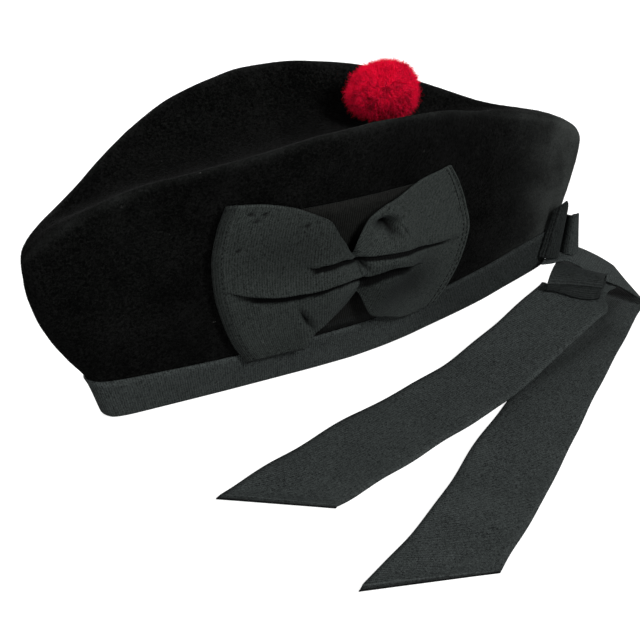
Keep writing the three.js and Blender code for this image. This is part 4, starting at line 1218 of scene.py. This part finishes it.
# %% How a tail lies
TAIL_THICK = 0.8
TAIL_ACROSS, TAIL_RIB_RISE = 15, 0.06
TAIL_WAVE, TAIL_WAVE_LENGTH, TAIL_WAVE_SKEW = 0.5, 46.0, 2.0
WAVE_FROM, WAVE_GROWS = 40.0, 40.0
TIP_CURL, TIP_RUN = 0.5, 14.0
END_RISE, END_RUN, END_TURN = 0.8, 9.0, 2.2
# END_SHADE is painted shade on each tail's turned-down end.
END_SHADE, END_TIP = 0.9, 0.25
FINE_STEPS = 2000

tail_across = np.linspace(0, 1, TAIL_ACROSS)[:, None]


def spline(points, at):
    """Smooth places along a list of points; at runs from 0 to 1."""
    count = len(points)
    t = np.clip(at, 0, 1) * (count - 1)
    i = np.clip(t.astype(int), 0, count - 2)
    f = (t - i)[:, None]
    p0, p1 = points[np.maximum(i - 1, 0)], points[i]
    p2, p3 = points[i + 1], points[np.minimum(i + 2, count - 1)]
    return 0.5 * (2 * p1 + (p2 - p0) * f + (2 * p0 - 5 * p1 + 4 * p2 - p3) * f * f
                  + (3 * p1 - p0 - 3 * p2 + p3) * f ** 3)


def tail_grid(rows):
    """Grid of a tail with a few columns to a rib, how far along each column is, and the width."""
    table = np.array(rows)
    inner, outer = table[:, :3], table[:, 3:]
    fine = np.linspace(0, 1, FINE_STEPS)
    run = run_along((spline(inner, fine) + spline(outer, fine)) / 2)
    stops = np.arange(0, run[-1], RIB_PITCH / RIB_COLUMNS)
    at = np.interp(stops, run, fine)
    grid = mix(spline(inner, at), spline(outer, at), tail_across[..., None])
    return grid, stops, np.linalg.norm(grid[-1] - grid[0], axis=-1).mean()


def lay_down(grid, stops, phase):
    """Gentle waves, a lifted tip and a turned end, never under the table; and the painted shade on the
    turned end.
    """
    sway = 2 * np.pi * stops / TAIL_WAVE_LENGTH + phase + TAIL_WAVE_SKEW * tail_across
    sway = TAIL_WAVE * (1 + np.sin(sway)) * smooth((stops - WAVE_FROM) / WAVE_GROWS)
    from_end = stops[-1] - stops
    tip = TIP_CURL * smooth((TIP_RUN - from_end) / TIP_RUN) ** 2 * (1 - tail_across)
    turned = 1 - smooth(from_end / END_TURN)
    end = END_RISE * (1 - smooth(from_end / END_RUN)) * smooth(tail_across / END_TIP)
    end = end * smooth((1 - tail_across) / END_TIP)
    rise = (sway * np.abs(2 * tail_across - 1) + tip + end) * (1 - turned)
    lifted = grid.copy()
    lifted[..., 2] = np.maximum(grid[..., 2], TAIL_THICK / 2 + RIB_RISE) + rise
    return lifted, END_SHADE * turned


print("points across a tail:", TAIL_ACROSS)

# %% Tail pieces
# Painted shade under the right tail's own fold and beside the left tail over it.
UNDER_FROM, UNDER_REACH, UNDER_NARROWS, UNDER_SHADE = 57.0, 80.0, 26.0, 1.0
UNDER_STARTS, UNDER_STOPS = 2.0, 3.0
BESIDE_SHADE, BESIDE_REACH, BESIDE_HEIGHT = 0.5, 7.0, 2.0
EDGE_STEPS = 200
TAILS = [("left", TAIL_LEFT, 0.4, "laid"), ("right", TAIL_RIGHT, 2.1, "folded")]


def tail_shade(grid, stops):
    """Painted shade on the right tail, under its own fold and beside the left tail that lies over it."""
    reach = UNDER_REACH - UNDER_NARROWS * tail_across
    under = smooth((stops - UNDER_FROM) / UNDER_STARTS) * smooth((reach - stops) / UNDER_STOPS)
    upper_edge = spline(np.array(TAIL_LEFT)[:, 3:], np.linspace(0, 1, EDGE_STEPS))[:, :2]
    apart = np.linalg.norm(grid[:, :, None, :2] - upper_edge, axis=-1).min(axis=-1)
    beside = np.exp(-apart / BESIDE_REACH) * (grid[..., 2] < BESIDE_HEIGHT)
    return np.maximum(UNDER_SHADE * under, BESIDE_SHADE * beside)


for name, rows, phase, held in TAILS:
    grid, stops, width = tail_grid(rows)
    grid, painted_shade_and_seams = lay_down(grid, stops, phase)
    if name == "right":
        painted_shade_and_seams = np.maximum(painted_shade_and_seams, tail_shade(grid, stops))
    tail = cloth_piece(
        f"tail_{name}_ribbon", grid, TAIL_THICK, stops, width * tail_across, grosgrain, TAIL_RIB_RISE, painted_shade_and_seams
    )
    settle(tail, "grosgrain", f"tail_{name}")
    print(f"tail {name}: {width:.0f} mm wide, {stops[-1]:.0f} mm long")

# %% [markdown]
# ## Knot at the back
# The tails come from a knot: a loop of ribbon stands up in pleats and a wrap lies flat below it. A real
# knot could be tied in a simulation, but only its outer layers show, so they are drawn directly. The near
# strip of the loop, its pleat's valley and the whole wrap lie in shade, which is painted on their points.

# %% Upright loop
PLEAT_COLUMNS = ("x", "y", "foot", "top", "lean")
PLEATS = [
    (9.6, 116.4, 25.5, 52.0, 6.5),
    (12.4, 119.0, 25.2, 56.0, 6.0),
    (13.6, 123.0, 24.4, 58.0, 4.5),
    (12.4, 126.6, 24.0, 53.0, 2.5),
    (6.6, 130.6, 23.8, 46.0, 1.5),
    (12.4, 133.6, 23.6, 47.4, 0.0),
    (12.8, 138.0, 23.2, 48.4, -2.0),
    (9.6, 142.0, 22.8, 46.0, -3.5),
    (3.6, 143.4, 22.8, 42.5, -3.5),
]
PLEAT_LEAN = 1.5
PLEAT_THICK = 0.9
PLEAT_STEPS, PLEAT_ROWS = 150, 56
PLEAT_VALLEY, VALLEY_WIDE = 3.9, 0.55
LOOP_SEAM, LOOP_SEAM_SINK = (1.6, 3.2), 0.08
SEAM_SHADE, SEAM_WIDE = 0.9, 0.4
STRIP_SHADE, STRIP_ENDS = 0.55, 3.6

pleat = dict(zip(PLEAT_COLUMNS, np.array(PLEATS).T))
at = np.linspace(0, 1, PLEAT_STEPS)
index = np.arange(len(PLEATS))
place = at * index[-1]
plan = spline(np.column_stack([pleat["x"], pleat["y"], np.zeros(len(PLEATS))]), at)
foot, top, lean = (curve_through(index, pleat[name])(place) for name in ("foot", "top", "lean"))
up = np.linspace(0, 1, PLEAT_ROWS)[:, None]
loop_grid = np.repeat(plan[None], PLEAT_ROWS, axis=0)
loop_grid[..., 0] += PLEAT_LEAN * up
loop_grid[..., 1] += lean * up
loop_grid[..., 2] = mix(foot, top, up)
run = run_along(plan)
# Painted shade in the pleat's valley and on the near strip; the seams get darker lines.
painted_shade_and_seams = np.maximum(bell(place, PLEAT_VALLEY, VALLEY_WIDE), STRIP_SHADE * (1 - smooth(place - STRIP_ENDS)))
for seam in LOOP_SEAM:
    painted_shade_and_seams = np.maximum(painted_shade_and_seams, SEAM_SHADE * bell(run, seam, SEAM_WIDE))
loop = cloth_piece(
    "back_loop_ribbon", loop_grid, PLEAT_THICK, run, loop_grid[..., 2], grosgrain, RIB_RISE, painted_shade_and_seams
)
settle(loop, "grosgrain", "back_loop")
outwards = grid_normals(loop_grid)
face = loop_grid + outwards * (PLEAT_THICK / 2 + RIB_RISE / 2)
columns = np.searchsorted(run, LOOP_SEAM)
seams = [stitch_row(face[:, c], outwards[:, c], LOOP_SEAM_SINK) for c in columns]
stitch_piece("knot_stitches", np.concatenate(seams))

# %% Wrap of the knot
WRAP_MIDDLE = np.array([28.5, 129.0, 18.2])
WRAP_TURN = 0.71
WRAP_LONG = 27.5
WRAP_WIDE_LEFT, WRAP_WIDE_RIGHT = 12.8, 6.4
WRAP_HALF_TALL = 4.2
WRAP_THICK, WRAP_WAIST, WRAP_RIB_RISE = 0.8, 0.1, 0.05
WRAP_SHRINK, WRAP_SHRINK_RUN = 1.3, 1.3 * np.pi
WRAP_FROM, WRAP_TO = -np.pi, 1.08 * np.pi
FLAP_REACH, FLAP_DROP = 7.5, 3.4
FLAP_LEAST, FLAP_FULL_AT = 0.1, 0.7
FLAP_CUT, FLAP_CUT_FROM = 0.3, 0.8
WRAP_SHADE, FLAP_SHADE = 0.48, 0.62
WRAP_COLUMNS, WRAP_ROWS, FLAP_ROWS = 60, 120, 26

axis = np.array([math.cos(WRAP_TURN), math.sin(WRAP_TURN), 0.0])
sideways = np.array([-axis[1], axis[0], 0.0])
share = np.linspace(0, 1, WRAP_COLUMNS)[None, :]
turn = np.linspace(WRAP_FROM, WRAP_TO, WRAP_ROWS)[:, None]
waist = 1 - WRAP_WAIST * bump(share)
inset = WRAP_THICK / 2 + WRAP_SHRINK * (1 - smooth((turn - WRAP_FROM) / WRAP_SHRINK_RUN))
wide = (mix(WRAP_WIDE_LEFT, WRAP_WIDE_RIGHT, share) * waist - inset) * np.cos(turn)
tall = (WRAP_HALF_TALL * waist - inset) * np.sin(turn)
t = np.linspace(0, 1, FLAP_ROWS)[1:, None]
reach = FLAP_REACH * mix(FLAP_LEAST, 1.0, smooth(share / FLAP_FULL_AT))
reach = reach * (1 - FLAP_CUT * smooth((share - FLAP_CUT_FROM) / (1 - FLAP_CUT_FROM)))
wide = np.concatenate([wide, wide[-1] - reach * t])
tall = np.concatenate([tall, mix(tall[-1], -FLAP_DROP, smooth(t))])
# Painted shade on the wrap, and more on its flap.
painted_shade_and_seams = np.where(np.arange(len(wide)) < WRAP_ROWS, WRAP_SHADE, FLAP_SHADE)[:, None]
wrap_grid = WRAP_MIDDLE + axis * ((share - 0.5) * WRAP_LONG)[..., None] + sideways * wide[..., None]
wrap_grid[..., 2] += tall
ring = run_along(wrap_grid[:, WRAP_COLUMNS // 2])
across_mm = share * WRAP_LONG
wrap = cloth_piece(
    "back_wrap_ribbon", wrap_grid, WRAP_THICK, ring[:, None], across_mm, grosgrain, WRAP_RIB_RISE, painted_shade_and_seams
)
settle(wrap, "grosgrain", "back_wrap")

# %% [markdown]
# ## Toorie
# The toorie is a ball of cut wool yarn, tied in the middle and clipped round. A hair system could grow it,
# but yarns made as short bent tubes stay in the mesh and show their cut ends. Finer hairs stand out
# between them. The wool is painted lighter towards the top and the yarns' tips, with painted shade at the
# roots and in one patch low down, and some hairs carry a painted highlight.

# %% Where the toorie sits
TOORIE_X, TOORIE_Y = 0.4, 22.7
TOORIE_RADIUS, TOORIE_HEIGHT = 16.3, 13.4
TOORIE_RISE = 4.4


def floor_under(x, y):
    along = (y - RIDGE_FRONT) / (RIDGE_BACK - RIDGE_FRONT)
    half = wall_at(along, 1.0)[..., 0]
    return top_at(along, 1 - np.minimum(1, np.abs(x) / half))[..., 2]


seat = float(floor_under(np.array(0.0), np.array(TOORIE_Y)))
toorie_middle = np.array([TOORIE_X, TOORIE_Y, seat + TOORIE_HEIGHT + TOORIE_RISE])
print("toorie middle:", toorie_middle.round(1))

# %% Outline of the clipped ball
OUTLINE_COLUMNS = ("degrees", "size")
OUTLINE = [
    (0, 0.97), (15, 0.97), (31, 1.05), (41, 0.99), (51, 1.08), (60, 0.98), (77, 0.93), (118, 0.84),
    (151, 0.87), (193, 1.01), (211, 1.09), (228, 1.06), (245, 0.98), (270, 0.9), (300, 0.95), (318, 1.04),
    (333, 1.05), (346, 1.0), (360, 0.97),
]
outline = curves_of(OUTLINE_COLUMNS, OUTLINE)
seen_from = np.array(away)
seen_right = unit(np.cross([0.0, 0.0, 1.0], seen_from))
seen_up = np.cross(seen_from, seen_right)


def clipped(way):
    """How far the scissors left the pile standing, for directions out of the ball's middle."""
    right, up = way @ seen_right, way @ seen_up
    size = outline["size"](np.degrees(np.arctan2(up, right)) % 360)
    return 1 + (size - 1) * (right ** 2 + up ** 2)


shares = [share for _, share in OUTLINE]
print("shortest and longest pile:", min(shares), max(shares))

# %% Cut yarns
YARNS = 3000
YARN_BEND, YARN_UNEVEN, YARN_SPIN = 1.6, 0.35, 0.08
YARN_GIRTHS = np.array([0.7, 0.95, 1.1, 1.0, 0.45])
YARN_ROOT, YARN_CLEAR = 0.42, 0.8
TUFTS, TUFT_RISE = 3.0, 0.08
GOLDEN_ANGLE = np.pi * (3 - np.sqrt(5))

draw = np.random.default_rng(41)
number = np.arange(YARNS)
high = 1 - 2 * (number + 0.5) / YARNS
spin = number * GOLDEN_ANGLE + draw.normal(0, YARN_SPIN, YARNS)
flat = np.sqrt(1 - high * high)
way = np.stack([flat * np.cos(spin), flat * np.sin(spin), high], -1)
size = np.array([TOORIE_RADIUS, TOORIE_RADIUS, TOORIE_HEIGHT])
lumps = np.array([noise.noise(Vector(w * TUFTS)) for w in way])[:, None]
tip = way * size * (1 + TUFT_RISE * lumps) * clipped(way)[:, None]
tip = tip + way * draw.normal(0, YARN_UNEVEN, (YARNS, 1))
bend = draw.normal(0, YARN_BEND, (YARNS, 3))
bend -= way * (bend * way).sum(-1, keepdims=True)
t = np.linspace(0, 1, len(YARN_GIRTHS))[None, :, None]
path = toorie_middle + mix(YARN_ROOT * tip[:, None], tip[:, None], t) + bend[:, None] * (t * t)
path[..., 2] = np.maximum(path[..., 2], floor_under(path[..., 0], path[..., 1]) + YARN_CLEAR)
print("yarns:", len(path))

# %% Yarn piece
YARN_RADIUS, YARN_RADIUS_SPREAD, YARN_SIDES = 0.6, 0.12, 5
SHADE_PATCH_AT = np.array([0.85, -0.4, -0.2])
SHADE_PATCH_DARK, SHADE_PATCH_WIDE = 0.55, 0.35
PAINTED_LIGHT_LIFT = 0.22

# Painted light: yarns lighter towards the top, less a patch of painted shade low down.
apart = 1 - way @ unit(SHADE_PATCH_AT)
painted_light = (high + 1) / 2 + PAINTED_LIGHT_LIFT - SHADE_PATCH_DARK * np.exp(-apart / SHADE_PATCH_WIDE)
tuft_tone = draw.random(YARNS)
radii = YARN_RADIUS * YARN_GIRTHS * (1 + draw.normal(0, YARN_RADIUS_SPREAD, (YARNS, 1)))
points, faces = tubes(path, radii, YARN_SIDES)
shade = np.stack(np.broadcast_arrays(t[..., 0], tuft_tone[:, None], painted_light[:, None]), -1)
shade = np.repeat(shade[:, :, None], YARN_SIDES, axis=2)
toorie = new_piece("toorie_yarn", points, faces, wool, {"strand": shade})
settle(toorie, "wool", "toorie")

# %% Fuzz piece
FUZZ = 46000
FUZZ_LENGTH, FUZZ_WIDTH, FUZZ_CURL = 2.3, 0.12, 0.7
FUZZ_LEAN, FUZZ_SPREAD, FUZZ_BELOW, FUZZ_ROOT = 1.0, 0.45, 1.5, 0.5
FUZZ_PAINTED_LIGHT, FUZZ_PAINTED_LIGHT_RARE = 0.95, 2.0

pick = draw.choice(YARNS, FUZZ, p=(high + FUZZ_BELOW) / (high + FUZZ_BELOW).sum())
start = path[pick, -1] + draw.normal(0, FUZZ_SPREAD, (FUZZ, 3)) - way[pick] * FUZZ_ROOT
aim = way[pick] + draw.normal(0, FUZZ_LEAN, (FUZZ, 3))
aim += way[pick] * np.maximum(0.0, -(aim * way[pick]).sum(-1))[:, None]
length = FUZZ_LENGTH * draw.uniform(HAIR_SHORTEST, 1.0, FUZZ)
hairs = hair_paths(start, aim, length, FUZZ_CURL, draw)
points, faces = hair_strips(hairs, FUZZ_WIDTH, draw)
# Some hairs get a painted highlight.
height = mix(painted_light[pick], 1.0, FUZZ_PAINTED_LIGHT * draw.random(FUZZ) ** FUZZ_PAINTED_LIGHT_RARE)
shade = np.stack([np.ones(FUZZ), tuft_tone[pick], height], -1)
shade = np.repeat(shade, 2 * len(HAIR_TAPER), axis=0)
settle(new_piece("toorie_fuzz", points, faces, wool, {"strand": shade}), "wool")

# %% [markdown]
# ## Table and light
# The cap stands on a plain white table. A lamp high on the camera's side shades the bow's folds, and three
# weaker lamps and a pale sky fill in. A white table throws much light back and would wash the folds out. A
# photographer lays black cards beside the cap; here only the camera's rays see the table and the sky white.

# %% Table
FLOOR_HALF = 12.0
FLOOR_DROP = 0.0004
TABLE_DARK, TABLE_LIGHT = (0.4, 0.4, 0.4, 1.0), (0.44, 0.44, 0.44, 1.0)
FLAGGED_TABLE = (0.2, 0.2, 0.2, 1.0)
WHITE = (1.0, 1.0, 1.0, 1.0)
TABLE_ROUGH = 0.7, 0.85
TABLE_GLOW = 0.84

floor_mesh = bpy.data.meshes.new("table")
corners = [(-1, -1), (1, -1), (1, 1), (-1, 1)]
places = [(x * FLOOR_HALF, y * FLOOR_HALF, -FLOOR_DROP) for x, y in corners]
floor_mesh.from_pydata(places, [], [(0, 1, 2, 3)])
floor = bpy.data.objects.new("table", floor_mesh)
scene.collection.objects.link(floor)
paper, tree, place = new_material("white_table")
tone = use_group(tree, dye, Place=place, Patch_Size=160.0, Lint_Spacing=400.0)
seen = add_node(tree, "ShaderNodeLightPath").outputs["Is Camera Ray"]
colour = blend_colour(tree, tone["Patches"], TABLE_DARK, TABLE_LIGHT)
colour = blend_colour(tree, seen, FLAGGED_TABLE, colour)
rough = remap(tree, tone["Patches"], 0.3, 0.7, *TABLE_ROUGH)
shader = set_surface(
    paper, colour, rough, tone["Patches"], 0.02, Specular_IOR_Level=0.2, Emission_Color=WHITE
)
tree.links.new(maths(tree, "MULTIPLY", seen, TABLE_GLOW), shader.inputs["Emission Strength"])
floor_mesh.materials.append(paper)
floor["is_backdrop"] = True
print("table:", 2 * FLOOR_HALF, "m wide")

# %% Lights and sky
LIGHTS = [
    ("key", (0.95, 0.4, 1.0), 0.45, 23.0),
    ("front", (0.55, -1.15, 0.4), 0.7, 9.0),
    ("over", (-0.35, 0.35, 1.5), 1.0, 2.0),
    ("far side", (-1.3, 0.15, 0.4), 0.8, 16.0),
]
SKY_STRENGTH, SKY_SEEN = 0.16, 0.9

for name, position, width, power in LIGHTS:
    lamp = bpy.data.lights.new(name, "AREA")
    lamp.shape = "DISK"
    lamp.size = width
    lamp.energy = power
    light = bpy.data.objects.new(name, lamp)
    light.location = position
    light.rotation_euler = (Vector(position) - CAMERA_LOOKS_AT).to_track_quat("Z", "Y").to_euler()
    scene.collection.objects.link(light)
world = bpy.data.worlds.new("studio")
world.use_nodes = True
tree = world.node_tree
sky = tree.nodes["Background"]
sky.inputs["Color"].default_value = WHITE
seen = add_node(tree, "ShaderNodeLightPath").outputs["Is Camera Ray"]
tree.links.new(remap(tree, seen, 0.0, 1.0, SKY_STRENGTH, SKY_SEEN), sky.inputs["Strength"])
scene.world = world
scene.view_settings.view_transform = "Standard"
print("lights:", len(LIGHTS))

# %% [markdown]
# ## Size of the finished pieces
# The box round the finished pieces, without the table, is printed in metres. The finished pieces have
# to stay within the imported part's box, apart from a little room for cloth.

# %% Sizes and finish
low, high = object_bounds()
print("visual box in metres:", [round(v, 4) for v in (*low, *high)])
